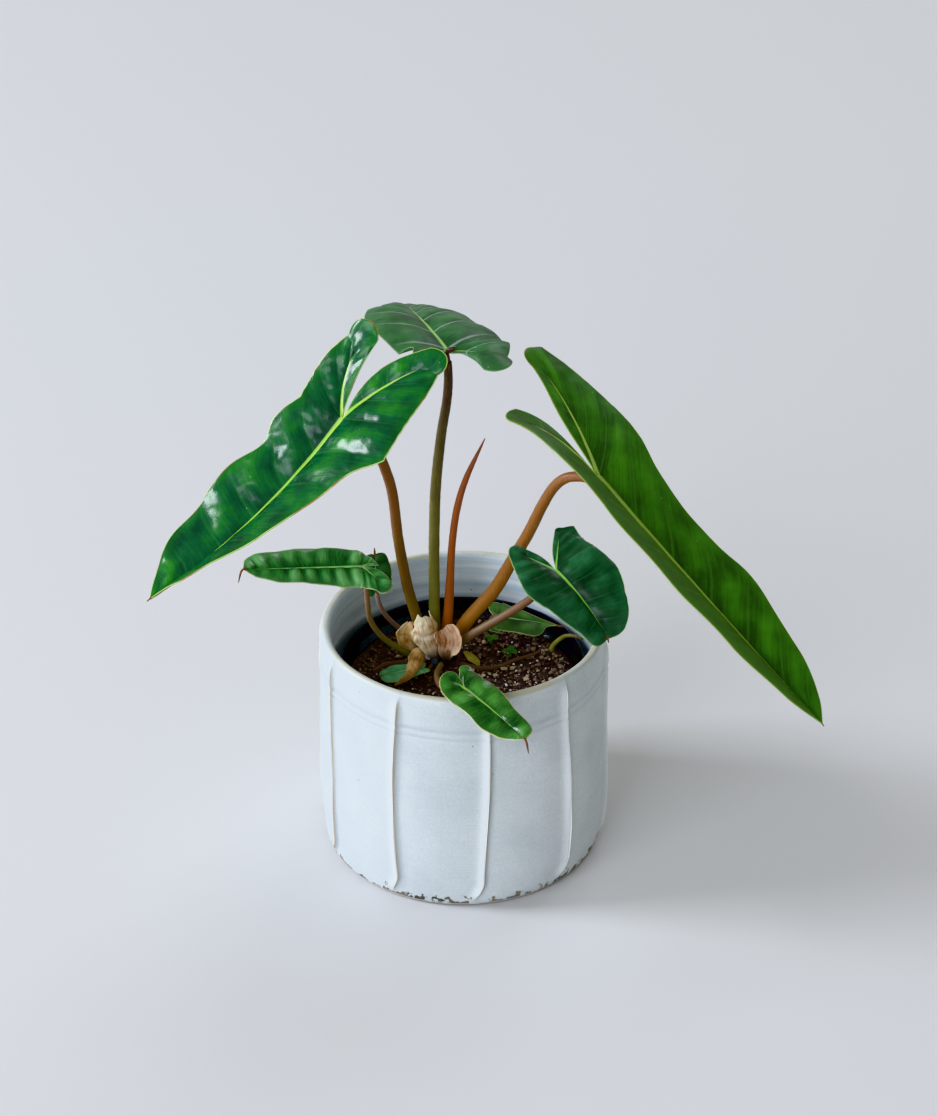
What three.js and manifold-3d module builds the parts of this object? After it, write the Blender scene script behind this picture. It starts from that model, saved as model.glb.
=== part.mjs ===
// Potted philodendron billietiae: a young aroid with nine leaves in a black nursery pot,
// which stands inside a ribbed, glazed stoneware cachepot.
// Units are millimetres, +Z is up, +X is to the right and -Y is the front.
// The origin is the centre of the cachepot's flat foot.

import * as THREE from 'three';
import { mergeVertices } from 'three/addons/utils/BufferGeometryUtils.js';
import Module from 'manifold-3d';

const wasm = await Module();
wasm.setup();

// Driving dimensions

const GAP = 0.3;                       // air between two pieces that touch
const CACHEPOT = {
  floorZ: 8, ridges: 10, firstRidge: -62.5, ridgeHeight: 1.1, ridgeHalfAngle: 1.7,
  ridgesEndZ: 140, wander: 1.1, plainColumns: 3, rimWave: 0.5, rimWaveFromZ: 120,
};
// radius and height of the cachepot's outside, from the foot to the lip, then down the inside
const CACHEPOT_OUTSIDE = [
  [80, 0], [82.6, 0.8], [84.4, 4], [86, 15], [87.2, 38], [87.2, 60], [86.6, 88],
  [85.9, 112], [85.2, 136], [85, 143.5],
];
const CACHEPOT_LIP = [[84.1, 147], [82.1, 147.8], [80.2, 146.8]];
const CACHEPOT_INSIDE = [[79.3, 143], [79.6, 118], [80.6, 70], [79.5, 24], [74, 10.5], [66, 8]];

const NURSERY = {
  rimZ: 120, rimRadius: 73.8, lipZ: 108.5, neckRadius: 70.6, footRadius: 54, wall: 1.5,
  drainHoles: 5, drainRadius: 4, drainRing: 36,
};
const SOIL = { level: 107.5, mound: 2.6, moundReach: 19, rings: 6, columns: 36, granules: 26 };
const CROWN = { x: -13, y: 23, bottom: 93, top: 117, radius: 11 };

const SIDES_PETIOLE = 8;
const SIDES_THIN = 6;
const TIP_SIDES = 5;
const NECK_LENGTH = 6.5;               // the blade's own stub that meets its petiole

// Every leaf blade is given by a few sizes. Pairs are [right half, left half], seen from above
// with the tip pointing away. Angles are in degrees.
//   junction     where the petiole meets the blade
//   heading      compass direction of the midrib at the junction (0 = +X, 90 = +Y), and its turn
//   pitch        rise of the midrib at the junction; droop and droopMore bend it down to the tip
//   roll, twist  lean of the blade about its midrib, and how much it changes towards the tip
//   widths       half widths at even steps from the junction to just before the tip
//   fold, curl   lift of each half at the midrib, and its bend down towards the margin
//   lobe         the two lobes behind the junction: costa length, splay from the midrib line,
//                turn, lift, sag; reach of the outer side (middle, end), of the round end, and
//                of the inner side (end, middle); fold of the outer and inner side
//   quilts       number of puckers between side veins, with their height
//   rows         rows of points along the midrib and along a lobe; columns from rib to margin
//   tip          length of the drip tip beyond the blade, and how steeply it hangs
//   wave         height and number of the waves in the margin
const BLADES = {
  left: {
    junction: [-66.5, -35, 303], length: 148.5, heading: 216, pitch: -43, droop: -28,
    roll: 22, twist: -32, fold: [19, 31], curl: [8, 8],
    widths: [[27.5, 32.5, 30, 36.5, 37, 35.5, 34.5, 29.5, 21, 10.5],
      [48.5, 37.5, 34.5, 31.5, 30.5, 27.5, 23.5, 20.5, 17, 6.5]],
    lobe: {
      length: [38.5, 52], splay: [45, 13], turn: [-37, 19], lift: [4, -3], sag: [-3, 0],
      outer: [19.5, 28.5], end: [11.5, 11], cap: [20.5, 16], inner: [15.5, 13],
      innerMiddle: [8, 12], fold: [12, 8], innerFold: [16, 9],
    },
    quilts: 6, quiltHeight: 1.5, wave: [1.2, 3.5], rows: 22, lobeRows: 5, columns: 4, thickness: 0.8,
    ribRadius: 1.9, tipLength: 1.5, tipDrop: 0.2,
  },
  right: {
    junction: [78, -5, 248.5], length: 203.5, heading: -14, turn: 1, pitch: -48, droop: -2,
    roll: -4, twist: -16, fold: [30, 31], curl: [10, 10],
    widths: [[39.5, 38, 37.5, 35, 32.5, 31, 27.5, 21.5, 12.5],
      [42.5, 36, 31.5, 33, 36, 33.5, 29, 23.5, 14]],
    lobe: {
      length: [52, 71], splay: [4, 41], turn: [-6, -23], lift: [-2, 1], sag: [34, 7],
      outer: [24, 32], end: [13, 19], cap: [14, 17], inner: [16, 8.5],
      innerMiddle: [5.5, 12.5], fold: [25, 15], innerFold: [10, 9],
    },
    quilts: 6, quiltHeight: 1.1, wave: [1.2, 4], rows: 22, lobeRows: 5, columns: 4, thickness: 0.8,
    ribRadius: 2, tipLength: 1.5, tipDrop: 0.2,
  },
  top: {
    junction: [-9, 12, 321.5], length: 155.5, heading: 113, turn: -30, pitch: 6, droop: 73,
    droopMore: -45, roll: -8, fold: [24, 21], curl: [25, 25],
    widths: [[39, 37, 34.5, 31, 26.5, 19, 10], [33, 35, 34, 30, 25, 19, 10]],
    lobe: {
      length: [20, 20], splay: [72, 73], turn: [-43, -31], lift: [24, 32], sag: [11, 16],
      outer: [28, 18], end: [16, 10], cap: [21, 9], inner: [16.5, 8],
      innerMiddle: [3.5, 6], fold: [15, 17], innerFold: [13, 15],
    },
    quilts: 5, quiltHeight: 1, wave: [1, 3.5], rows: 20, lobeRows: 5, columns: 4, thickness: 0.8,
    ribRadius: 1.8, tipLength: 1.5, tipDrop: 0.3,
  },
  medium: {
    junction: [54.5, -15, 192], length: 51.5, heading: -51, turn: 7, pitch: -13, droop: 36,
    roll: -13, fold: [12, 18], curl: [10, 10],
    widths: [[25.5, 23.5, 21, 18, 14.5], [28, 30.5, 27.5, 23.5, 15]],
    lobe: {
      length: [20.5, 26], splay: [18, 41], turn: [2, 4], lift: [0, 1], sag: [-4, -1],
      outer: [17, 18.5], end: [10, 11.5], cap: [11.5, 7], inner: [6, 4.5],
      innerMiddle: [5, 3.5], fold: [13, 15], innerFold: [13, 12],
    },
    quilts: 4, quiltHeight: 0.8, wave: [0.6, 3], rows: 13, lobeRows: 4, columns: 3, thickness: 0.8,
    ribRadius: 1.4, tipLength: 2.5, tipDrop: 1,
  },
  narrow: {
    junction: [-58.5, -15, 195], length: 69.5, heading: 191, pitch: 5,
    roll: 28, fold: [5, -1], curl: [10, 10],
    widths: [[12.5, 15, 16, 16, 14], [13.5, 12.5, 10.5, 10.5, 7.5]],
    lobe: {
      length: [6.5, 13], splay: [27, 44], turn: [-2, 7], lift: [-4, -2], sag: [6, 6],
      outer: [7, 10], end: [3.5, 7], cap: [3, 9], inner: [5, 8],
      innerMiddle: [2, 6], fold: [9, 9], innerFold: [13, 17],
    },
    quilts: 6, quiltHeight: 0.9, wave: [0.5, 4], rows: 14, lobeRows: 3, columns: 2, thickness: 0.75,
    ribRadius: 1.2, tipLength: 9, tipDrop: 3,
  },
  behind: {
    junction: [-51.2, 12.5, 164.3], length: 20, heading: 95, pitch: 45,
    roll: -5, fold: [4, 4], curl: [10, 10],
    widths: [[9.5, 10.5, 10.5, 8.5], [9, 9.5, 9, 7]],
    lobe: {
      length: [3, 3], splay: [60, 50], turn: [0, 0], lift: [0, 0], sag: [0, 0],
      outer: [9, 9], end: [6, 6], cap: [4, 5], inner: [3, 4],
      innerMiddle: [2, 2], fold: [10, 10], innerFold: [12, 12],
    },
    quilts: 3, quiltHeight: 0.5, wave: [0.4, 2], rows: 7, lobeRows: 3, columns: 2, thickness: 0.75,
    ribRadius: 0.9, tipLength: 4, tipDrop: -0.5,
  },
  front: {
    junction: [1, -80, 153.5], length: 54, heading: -50, pitch: -3, droop: 10,
    roll: -7, twist: -9, fold: [2, 15], curl: [10, 10],
    widths: [[12.5, 12.5, 14.5, 13.5, 7.5], [13, 14, 12.5, 11.5, 11]],
    lobe: {
      length: [6.5, 11.5], splay: [8, 31], turn: [-11, 16], lift: [2, 0], sag: [-3, 0],
      outer: [11.5, 10.5], end: [10, 6], cap: [10.5, 9], inner: [5.5, 4],
      innerMiddle: [3.5, 2], fold: [9, 8], innerFold: [15, 15],
    },
    quilts: 4, quiltHeight: 0.7, wave: [0.4, 3], rows: 12, lobeRows: 3, columns: 3, thickness: 0.75,
    ribRadius: 1.1, tipLength: 8, tipDrop: 2.5,
  },
  low: {
    junction: [-24.5, 3.2, 112.9], length: 26.5, heading: 200, turn: -3, pitch: 3, droop: 10,
    roll: 2, fold: [6, 7], curl: [5, 5],
    widths: [[6.5, 7, 9, 7], [6, 9, 12, 8]],
    lobe: {
      length: [2, 2], splay: [60, 60], turn: [0, 0], lift: [0, 0], sag: [0, 0],
      outer: [6, 6], end: [4, 4], cap: [4, 4], inner: [2.5, 2.5],
      innerMiddle: [1.5, 1.5], fold: [8, 8], innerFold: [8, 8],
    },
    quilts: 3, quiltHeight: 0.4, wave: [0.3, 2], rows: 7, lobeRows: 3, columns: 2, thickness: 0.75,
    ribRadius: 0.8, tipLength: 3, tipDrop: 0.5,
  },
  back: {
    junction: [21, 45, 123], length: 39.5, heading: -14, droop: 2,
    roll: -18, fold: [7, 9], curl: [5, 5],
    widths: [[10.5, 11.5, 13.5, 3.5], [11, 8.5, 5.5, 3]],
    lobe: {
      length: [4.5, 3.5], splay: [70, 60], turn: [20, 5], lift: [-4, -1], sag: [5, 0],
      outer: [10.5, 9.5], end: [10, 8], cap: [7, 8], inner: [4, 5],
      innerMiddle: [2, 3], fold: [6, 9], innerFold: [10, 12],
    },
    quilts: 3, quiltHeight: 0.5, wave: [0.5, 2], rows: 9, lobeRows: 3, columns: 2, thickness: 0.75,
    ribRadius: 0.9, tipLength: 3, tipDrop: 0,
  },
};

// Petioles run from the crown, or from the soil, up to just under their blade's junction.
const PETIOLES = {
  left: {
    path: [[-25, 24, 123], [-28.2, 23.8, 137.6], [-32.5, 22.5, 156], [-37.9, 17, 194.2],
      [-41.1, 7.5, 233.5], [-46.1, -2, 258], [-52, -12, 280], [-59, -22, 293.5]],
    radii: [3.3, 3.2, 3.1, 3, 2.7],
  },
  top: {
    path: [[-17, 27.5, 124], [-17.1, 26, 150], [-17, 26, 185], [-15.8, 24.5, 225],
      [-12.4, 21, 262], [-8.4, 17, 292], [-8.2, 14, 310]],
    radii: [3.3, 3.3, 3.2, 2.9, 2.5],
  },
  right: {
    path: [[-3.5, 22.5, 123], [2.9, 22.5, 134.9], [18.8, 21.5, 156.7], [29.7, 20, 178.6],
      [39.8, 17, 201], [46.6, 14, 219.3], [53.4, 10, 234.3], [60, 5.5, 242.6], [67.8, 1, 246]],
    radii: [4.3, 4.1, 3.6, 3.3, 2.9],
  },
  medium: {
    path: [[-5, 14.5, 121], [4, 13.6, 129], [14.8, 12.5, 137.4], [23.5, 11, 144.2],
      [32.3, 8, 152.3], [39.1, 5, 159.7], [47.5, -4, 174]],
    radii: [2.7, 2.6, 2.4, 2.2],
  },
  narrow: {
    path: [[-31, 16, 114], [-43.6, 8, 127.7], [-50.5, 2, 139.3], [-54.8, -4, 152.3],
      [-55.8, -9, 165], [-56.5, -12.5, 180]],
    radii: [1.9, 1.7, 1.6, 1.5],
  },
  behind: {
    path: [[-29, 28, 117.5], [-36.5, 30, 122.5], [-42.2, 27, 130], [-47.4, 21, 141],
      [-50.4, 16.4, 152]],
    radii: [1.6, 1.5, 1.4, 1.3],
  },
  front: {
    path: [[-13.2, 8, 112], [-15.4, -6, 114.2], [-13, -30, 122], [-6, -58, 138.5], [-1, -72, 149]],
    radii: [1.9, 1.8, 1.7, 1.6],
  },
  low: {
    path: [[-18.6, 11, 110], [-20.4, 7.6, 109.7], [-22, 5.6, 110.2]],
    radii: [1.1, 1],
  },
  back: {
    path: [[16.5, 62, 101], [17.3, 59, 112], [19.3, 51, 119.5]],
    radii: [1.4, 1.3, 1.2], inSoil: true,
  },
};

// the furled new leaf, from the crown to its sharp point
const SPIKE = {
  path: [[-10, 27, 124], [-8.6, 25.4, 140], [-7.5, 25, 163], [-6, 24.6, 190], [-3, 23.5, 213],
    [1.8, 22.3, 232], [13, 20, 260.7]],
  radii: [3.1, 2.8, 2.35, 2.2, 2.1, 1.6, 0.35],
};

// thin curled strips: the path of the middle line, half widths along it, the way the strip
// faces, how far it is cupped, and its thickness
const TOWARDS_FRONT = [0, -0.86, 0.5];
const STRIPS = {
  sheath_centre: {
    path: [[-16.2, 11.9, 113.8], [-18.2, 10.9, 120.5], [-21.2, 10.7, 127.6], [-21.8, 11.3, 136],
      [-24.1, 14.5, 145.6]],
    widths: [1.8, 3.5, 5.4, 4.8, 0.8], faces: [-0.2, -0.9, 0.3], cup: -0.05, rows: 7, columns: 4,
    thickness: 0.8,
  },
  sheath_right: {
    path: [[-9.6, 12, 113.6], [-11, 10.3, 120], [-9.8, 9.8, 127.5], [-8.4, 10.8, 133.5],
      [-13.2, 15.5, 139]],
    widths: [1.4, 2.2, 3.4, 5.8, 4], faces: [0.3, -0.9, 0.3], cup: -0.05, rows: 7, columns: 4,
    thickness: 0.8,
  },
  sheath_left: {
    path: [[-25, 20.5, 117], [-30, 17.8, 120.5], [-32.8, 16.6, 126], [-32, 16, 132.2],
      [-30.5, 17.5, 138]],
    widths: [1.2, 4.6, 6, 3.6, 0.7], faces: [-0.4, -0.9, 0.2], cup: -0.04, rows: 7, columns: 4,
    thickness: 0.8,
  },
  sheath_hanging: {
    path: [[-20.5, 15.2, 114.2], [-26, 9.2, 118.6], [-28.5, 2, 117.4], [-31.2, -7.6, 116],
      [-36.4, -13.9, 115], [-41, -15.8, 112.6]],
    widths: [1.4, 4.2, 4.4, 3, 1.6, 0.6], faces: [0, -0.7, 0.7], cup: 0.04, rows: 9, columns: 4,
    thickness: 0.8,
  },
  fallen_leaf: {
    path: [[1, 28.5, 0], [4, 22.5, 0], [7.2, 17, 0], [9.8, 12, 0]],
    widths: [0.8, 3, 3.2, 0.8], faces: [0, 0, 1], cup: 0.08, rows: 6, columns: 4,
    thickness: 0.8, onSoil: true,
  },
};

// round stems and roots that start in the soil or beside the crown
const YELLOW_STEM = {
  path: [[53, 33.5, 100], [54.6, 32, 110], [59.2, 29.2, 117], [62.7, 26.6, 121], [68, 22, 123.6],
    [72, 17.8, 124.2]],
  radii: [1.5, 1.6, 1.6, 1.4, 1.2],
};
const SURFACE_ROOT = {
  path: [[-1, 12, 110.2], [8, 9.2, 109.4], [17.1, 9.2, 109], [24.4, 12.5, 108.8],
    [31.7, 18.5, 108.6], [40.9, 23.7, 108.6], [46.5, 28.2, 108.4], [49.5, 37.2, 107.4]],
  radii: [1.5, 1.4, 1.3, 1.1, 0.8],
};
const OLD_PETIOLE = {
  path: [[-26.8, 13.2, 110.2], [-34.4, 14, 109.6], [-45.9, 13, 109], [-54, 7, 108.4]],
  radii: [1.9, 1.8, 1.6, 1.3],
};
const SEEDLINGS = [
  { x: 17.5, y: 40, turn: 20, size: 4.6, leaves: 3 },
  { x: 28.8, y: 25, turn: 80, size: 5.4, leaves: 3 },
];

// Small helpers

const rad = THREE.MathUtils.degToRad;
const vec = (a) => new THREE.Vector3(...a);
const smooth = (x) => x * x * (3 - 2 * x);
const clamp = (x, lo, hi) => Math.min(hi, Math.max(lo, x));

// a fixed sequence of random numbers from 0 to 1
function makeRandom(seed) {
  let state = seed;
  return () => {
    state = (state * 16807) % 2147483647;
    return state / 2147483647;
  };
}

// the smooth (Catmull-Rom) curve through evenly spaced values, read at u from 0 to 1
function through(values, u) {
  const last = values.length - 1;
  const x = clamp(u, 0, 1) * last;
  const i = Math.min(Math.floor(x), last - 1);
  const f = x - i;
  const b = values[i];
  const c = values[i + 1];
  const a = i > 0 ? values[i - 1] : 2 * b - c;
  const d = i + 2 <= last ? values[i + 2] : 2 * c - b;
  return 0.5 * (2 * b + (c - a) * f + (2 * a - 5 * b + 4 * c - d) * f * f
    + (3 * b - a - 3 * c + d) * f ** 3);
}

// a geometry from a list of points and a list of triangles
function geometryFrom(points, triangles) {
  const geometry = new THREE.BufferGeometry();
  geometry.setAttribute('position', new THREE.Float32BufferAttribute(points.flat(), 3));
  geometry.setIndex(triangles.flat());
  return geometry;
}

// a geometry with only positions, its shared vertices merged
function welded(geometry) {
  const copy = geometry.clone();
  for (const name of Object.keys(copy.attributes)) {
    if (name !== 'position') copy.deleteAttribute(name);
  }
  return mergeVertices(copy, 1e-4);
}

function toSolid(geometry) {
  const clean = welded(geometry);
  return new wasm.Manifold(new wasm.Mesh({
    numProp: 3,
    vertProperties: new Float32Array(clean.attributes.position.array),
    triVerts: new Uint32Array(clean.index.array),
  }));
}

function fromSolid(solid) {
  const mesh = solid.getMesh();
  const geometry = new THREE.BufferGeometry();
  geometry.setAttribute('position', new THREE.BufferAttribute(mesh.vertProperties, 3));
  geometry.setIndex(new THREE.BufferAttribute(mesh.triVerts, 1));
  return geometry;
}

const join = (solids) => solids.reduce((all, solid) => all.add(solid));

const curveThrough = (points) => (
  new THREE.CatmullRomCurve3(points.map(vec), false, 'centripetal'));

// a round tube with flat ends along a curve, or along the part of it between two shares of its
// length; its radius follows the given values
function tube(curve, radii, sides, steps, from = 0, to = 1) {
  const start = curve.getTangentAt(from);
  const normal = Math.abs(start.x) < 0.8 ? vec([1, 0, 0]) : vec([0, 1, 0]);
  const rings = [];
  for (let i = 0; i <= steps; i += 1) {
    const u = from + ((to - from) * i) / steps;
    const centre = curve.getPointAt(u);
    const tangent = curve.getTangentAt(u);
    normal.addScaledVector(tangent, -normal.dot(tangent)).normalize();
    const binormal = tangent.clone().cross(normal);
    const radius = through(radii, i / steps);
    for (let j = 0; j < sides; j += 1) {
      const angle = (2 * Math.PI * j) / sides;
      rings.push(centre.clone()
        .addScaledVector(normal, radius * Math.cos(angle))
        .addScaledVector(binormal, radius * Math.sin(angle)).toArray());
    }
  }
  const triangles = [];
  for (let i = 0; i < steps; i += 1) {
    for (let j = 0; j < sides; j += 1) {
      const a = i * sides + j;
      const b = i * sides + ((j + 1) % sides);
      triangles.push([a, b, a + sides], [b, b + sides, a + sides]);
    }
  }
  const first = rings.length;
  rings.push(curve.getPointAt(from).toArray(), curve.getPointAt(to).toArray());
  for (let j = 0; j < sides; j += 1) {
    const next = (j + 1) % sides;
    triangles.push([first, next, j]);
    triangles.push([first + 1, steps * sides + j, steps * sides + next]);
  }
  return geometryFrom(rings, triangles);
}

// a thin closed sheet: an open surface of points and triangles, given a thickness along its
// own normals, with both faces split into triangles alike and a wall all round its edge;
// a point's own depth, if it has one, is added on the underside and makes a rib there
function thickSheet(grids, thickness) {
  const ids = new Map();
  const points = [];
  const idOf = (p) => {
    const key = p.toArray().map((c) => Math.round(c * 500)).join(',');
    if (!ids.has(key)) {
      ids.set(key, points.length);
      points.push(p);
    }
    return ids.get(key);
  };
  const triangles = [];
  const addTriangle = (a, b, c, flip) => {
    if (a === b || b === c || a === c) return;
    triangles.push(flip ? [a, c, b] : [a, b, c]);
  };
  for (const { rows, flip } of grids) {
    for (let i = 0; i + 1 < rows.length; i += 1) {
      for (let j = 0; j + 1 < rows[i].length; j += 1) {
        const a = idOf(rows[i][j]);
        const b = idOf(rows[i + 1][j]);
        const c = idOf(rows[i + 1][j + 1]);
        const d = idOf(rows[i][j + 1]);
        addTriangle(a, b, d, flip);
        addTriangle(b, c, d, flip);
      }
    }
  }
  const normals = points.map(() => new THREE.Vector3());
  for (const [a, b, c] of triangles) {
    const n = points[b].clone().sub(points[a]).cross(points[c].clone().sub(points[a]));
    for (const id of [a, b, c]) normals[id].add(n);
  }
  const half = thickness / 2;
  const shell = [];
  points.forEach((p, i) => {
    shell.push(p.clone().addScaledVector(normals[i].normalize(), half).toArray());
  });
  points.forEach((p, i) => {
    shell.push(p.clone().addScaledVector(normals[i], -half - (p.depth ?? 0)).toArray());
  });
  const under = points.length;
  const faces = [];
  const edges = new Map();
  for (const [a, b, c] of triangles) {
    faces.push([a, b, c], [under + a, under + c, under + b]);
    for (const [p, q] of [[a, b], [b, c], [c, a]]) edges.set(`${p},${q}`, [p, q]);
  }
  for (const [p, q] of edges.values()) {
    if (!edges.has(`${q},${p}`)) faces.push([q, p, under + p], [q, under + p, under + q]);
  }
  return geometryFrom(shell, faces);
}

// Leaf blades

// position and frame (along, right, up) of a blade's midrib at u, 0 at the junction
function midrib(blade) {
  const { heading, turn = 0, pitch = 0, droop = 0, droopMore = 0, roll = 0, twist = 0 } = blade;
  const along = (u) => {
    const rise = rad(pitch - droop * u - droopMore * u * u);
    const compass = rad(heading + turn * u);
    return new THREE.Vector3(
      Math.cos(rise) * Math.cos(compass), Math.cos(rise) * Math.sin(compass), Math.sin(rise));
  };
  const place = walk(along, blade.length, vec(blade.junction));
  return (u) => {
    const compass = rad(heading + turn * u);
    const flatRight = new THREE.Vector3(Math.sin(compass), -Math.cos(compass), 0);
    const t = along(u);
    const flatUp = flatRight.clone().cross(t);
    const lean = rad(roll + twist * u);
    const right = flatRight.clone().multiplyScalar(Math.cos(lean))
      .addScaledVector(flatUp, Math.sin(lean));
    const up = flatUp.multiplyScalar(Math.cos(lean)).addScaledVector(flatRight, -Math.sin(lean));
    return { point: place(u), along: t, right, up };
  };
}

// the path that leaves start along changing unit directions, read at u from 0 to 1
function walk(direction, length, start) {
  const steps = 48;
  const stops = [start.clone()];
  for (let i = 0; i < steps; i += 1) {
    const step = direction((i + 0.5) / steps);
    stops.push(stops[i].clone().addScaledVector(step, length / steps));
  }
  return (u) => {
    const x = clamp(u, 0, 1) * steps;
    const i = Math.min(Math.floor(x), steps - 1);
    return stops[i].clone().lerp(stops[i + 1], x - i);
  };
}

const VEIN_AT_JUNCTION = 8;            // side veins lean towards the tip by this many degrees
const VEIN_AT_TIP = 58;
const VEIN_BEND = 0.12;
const LOBE_CORNER = 45;
const LOBE_ROOT = 80;

// one half of a blade as rows of points, each row from the rib out to the margin; the rows go
// from the tip down the midrib, out along the lobe's costa, round its end and back inside
function halfBlade(blade, side) {
  const sign = 1 - 2 * side;
  const at = midrib(blade);
  const lobe = Object.fromEntries(Object.entries(blade.lobe).map(([k, v]) => [k, v[side]]));
  const fold = blade.fold[side];
  const widths = [...blade.widths[side], 0];
  const widest = widths[0];
  const lines = [];
  for (let i = 0; i < blade.rows; i += 1) {
    const u = 1 - i / (blade.rows - 1);
    const { point, along, right, up } = at(u);
    const lean = rad(VEIN_AT_JUNCTION + (VEIN_AT_TIP - VEIN_AT_JUNCTION) * u);
    const out = right.clone().multiplyScalar(sign * Math.cos(lean))
      .addScaledVector(along, Math.sin(lean));
    const forward = along.clone().multiplyScalar(Math.cos(lean))
      .addScaledVector(right, -sign * Math.sin(lean));
    const reach = i === 0 ? 0 : Math.max(through(widths, u), 0);
    const depth = blade.ribRadius * (1 - u) * 0.9;
    lines.push({ point, out, up, forward, reach, fold, phase: 1 - u, depth });
  }
  const root = at(0);
  const lobeFrame = (b) => {
    const spread = rad(lobe.splay + lobe.turn * b);
    const rise = rad(lobe.lift * b * (2 - b) - lobe.sag * b * b);
    const flat = root.along.clone().multiplyScalar(-Math.cos(spread))
      .addScaledVector(root.right, sign * Math.sin(spread));
    const aside = root.right.clone().multiplyScalar(sign * Math.cos(spread))
      .addScaledVector(root.along, Math.sin(spread));
    return {
      along: flat.clone().multiplyScalar(Math.cos(rise)).addScaledVector(root.up, Math.sin(rise)),
      aside,
      up: flat.clone().multiplyScalar(-Math.sin(rise)).addScaledVector(root.up, Math.cos(rise)),
    };
  };
  const costa = walk((b) => lobeFrame(b).along, lobe.length, root.point);
  const lobeLine = (b, angle, reach, lineFold, phase) => {
    const { along, aside, up } = lobeFrame(b);
    const out = along.clone().multiplyScalar(Math.cos(angle))
      .addScaledVector(aside, Math.sin(angle));
    const forward = along.clone().multiplyScalar(Math.sin(angle))
      .addScaledVector(aside, -Math.cos(angle));
    const depth = 0.7 * blade.ribRadius * (1 - b);
    lines.push({ point: costa(b), out, up, forward, reach, fold: lineFold, phase, depth });
  };
  const { lobeRows } = blade;
  const endRows = lobeRows - 2;
  const first = rad(90 - lobe.splay + VEIN_AT_JUNCTION);
  const corner = rad(LOBE_CORNER);
  for (let i = 0; i < lobeRows; i += 1) {
    const b = i / (lobeRows - 1);
    lobeLine(b, (1 - b) * first + b * corner, through([widest, lobe.outer, lobe.end], b),
      fold + (lobe.fold - fold) * smooth(b), 1 + b);
  }
  for (let i = 1; i <= endRows; i += 1) {
    const f = i / (endRows + 1);
    const middle = Math.sin(Math.PI * f);
    const plain = lobe.end * (1 - smooth(f)) + lobe.inner * smooth(f);
    lobeLine(1, corner * (1 - 2 * f), plain * (1 - middle) + lobe.cap * middle,
      lobe.fold * (1 - f) + lobe.innerFold * f, 2 + f);
  }
  for (let i = lobeRows - 1; i >= 0; i -= 1) {
    const b = i / (lobeRows - 1);
    lobeLine(b, -(b * corner + (1 - b) * rad(LOBE_ROOT)),
      through([0, lobe.innerMiddle, lobe.inner], b), lobe.innerFold, 4 - b);
  }
  const [waveHeight, waveCount] = blade.wave;
  return lines.map(({ point, out, up, forward, reach, fold: lift, phase, depth }) => {
    const share = clamp(reach / widest, 0, 1);
    const row = [];
    for (let j = 0; j <= blade.columns; j += 1) {
      const t = j / blade.columns;
      const angle = rad(lift - blade.curl[side] * t);
      const wave = waveHeight * Math.sin(2 * Math.PI * waveCount * phase + side) * t * t * share;
      const pucker = blade.quiltHeight * share * Math.sin(Math.PI * t)
        * Math.abs(Math.sin(Math.PI * blade.quilts * Math.min(phase, 2)));
      const place = point.clone()
        .addScaledVector(out, reach * t * Math.cos(angle))
        .addScaledVector(up, reach * t * Math.sin(angle) + wave + pucker)
        .addScaledVector(forward, VEIN_BEND * t * (1 - t) * reach);
      if (j === 0) place.depth = depth;
      row.push(place);
    }
    return row;
  });
}

// where the petiole ends, just under the blade's junction
function underJunction(blade) {
  const { point, up, along } = midrib(blade)(0);
  return point.clone().addScaledVector(up, -0.9 * blade.ribRadius)
    .addScaledVector(along, 0.5).toArray();
}

// the whole run of a petiole, up to the blade's underside
function petioleCurve(name) {
  return curveThrough([...PETIOLES[name].path, underJunction(BLADES[name])]);
}

function bladeSolid(name) {
  const blade = BLADES[name];
  const grids = [0, 1].map((side) => ({ rows: halfBlade(blade, side), flip: side === 1 }));
  const sheet = toSolid(thickSheet(grids, blade.thickness));
  const at = midrib(blade);
  const r = blade.ribRadius;
  const knuckle = new THREE.IcosahedronGeometry(1.15 * r, 0);
  knuckle.translate(...underJunction(blade));
  const curve = petioleCurve(name);
  const neck = toSolid(tube(curve, [r, r], SIDES_PETIOLE, 2, 1 - NECK_LENGTH / curve.getLength()));
  const { point: tip, along } = at(1);
  const drip = along.clone().addScaledVector(new THREE.Vector3(0, 0, -1), blade.tipDrop)
    .setLength(blade.tipLength);
  const pointCurve = curveThrough([at(0.94).point, tip, tip.clone().add(drip)]
    .map((p) => p.toArray()));
  const point = toSolid(tube(pointCurve, [0.6, 0.75, 0.3], TIP_SIDES, 3));
  return join([sheet, toSolid(knuckle), neck, point]);
}

// Petioles, spike and crown

function petioleSolid(name) {
  const curve = petioleCurve(name);
  const length = curve.getLength();
  const steps = clamp(Math.round(length / 11), 4, 16);
  return toSolid(tube(curve, PETIOLES[name].radii, SIDES_PETIOLE, steps, 0,
    1 - (NECK_LENGTH + GAP) / length));
}

// the crown's own foot under a petiole: from inside the stem to just short of the petiole
function crownFoot(path, radius) {
  const base = vec(path[0]);
  const away = vec(path[1]).sub(base).normalize();
  const end = base.clone().addScaledVector(away, -GAP);
  const inner = new THREE.Vector3(
    CROWN.x + 0.35 * (base.x - CROWN.x), CROWN.y + 0.35 * (base.y - CROWN.y), CROWN.top - 8);
  const middle = end.clone().addScaledVector(away, -3);
  return toSolid(tube(curveThrough([inner, middle, end].map((p) => p.toArray())),
    [radius, radius], SIDES_PETIOLE, 2));
}

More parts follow.
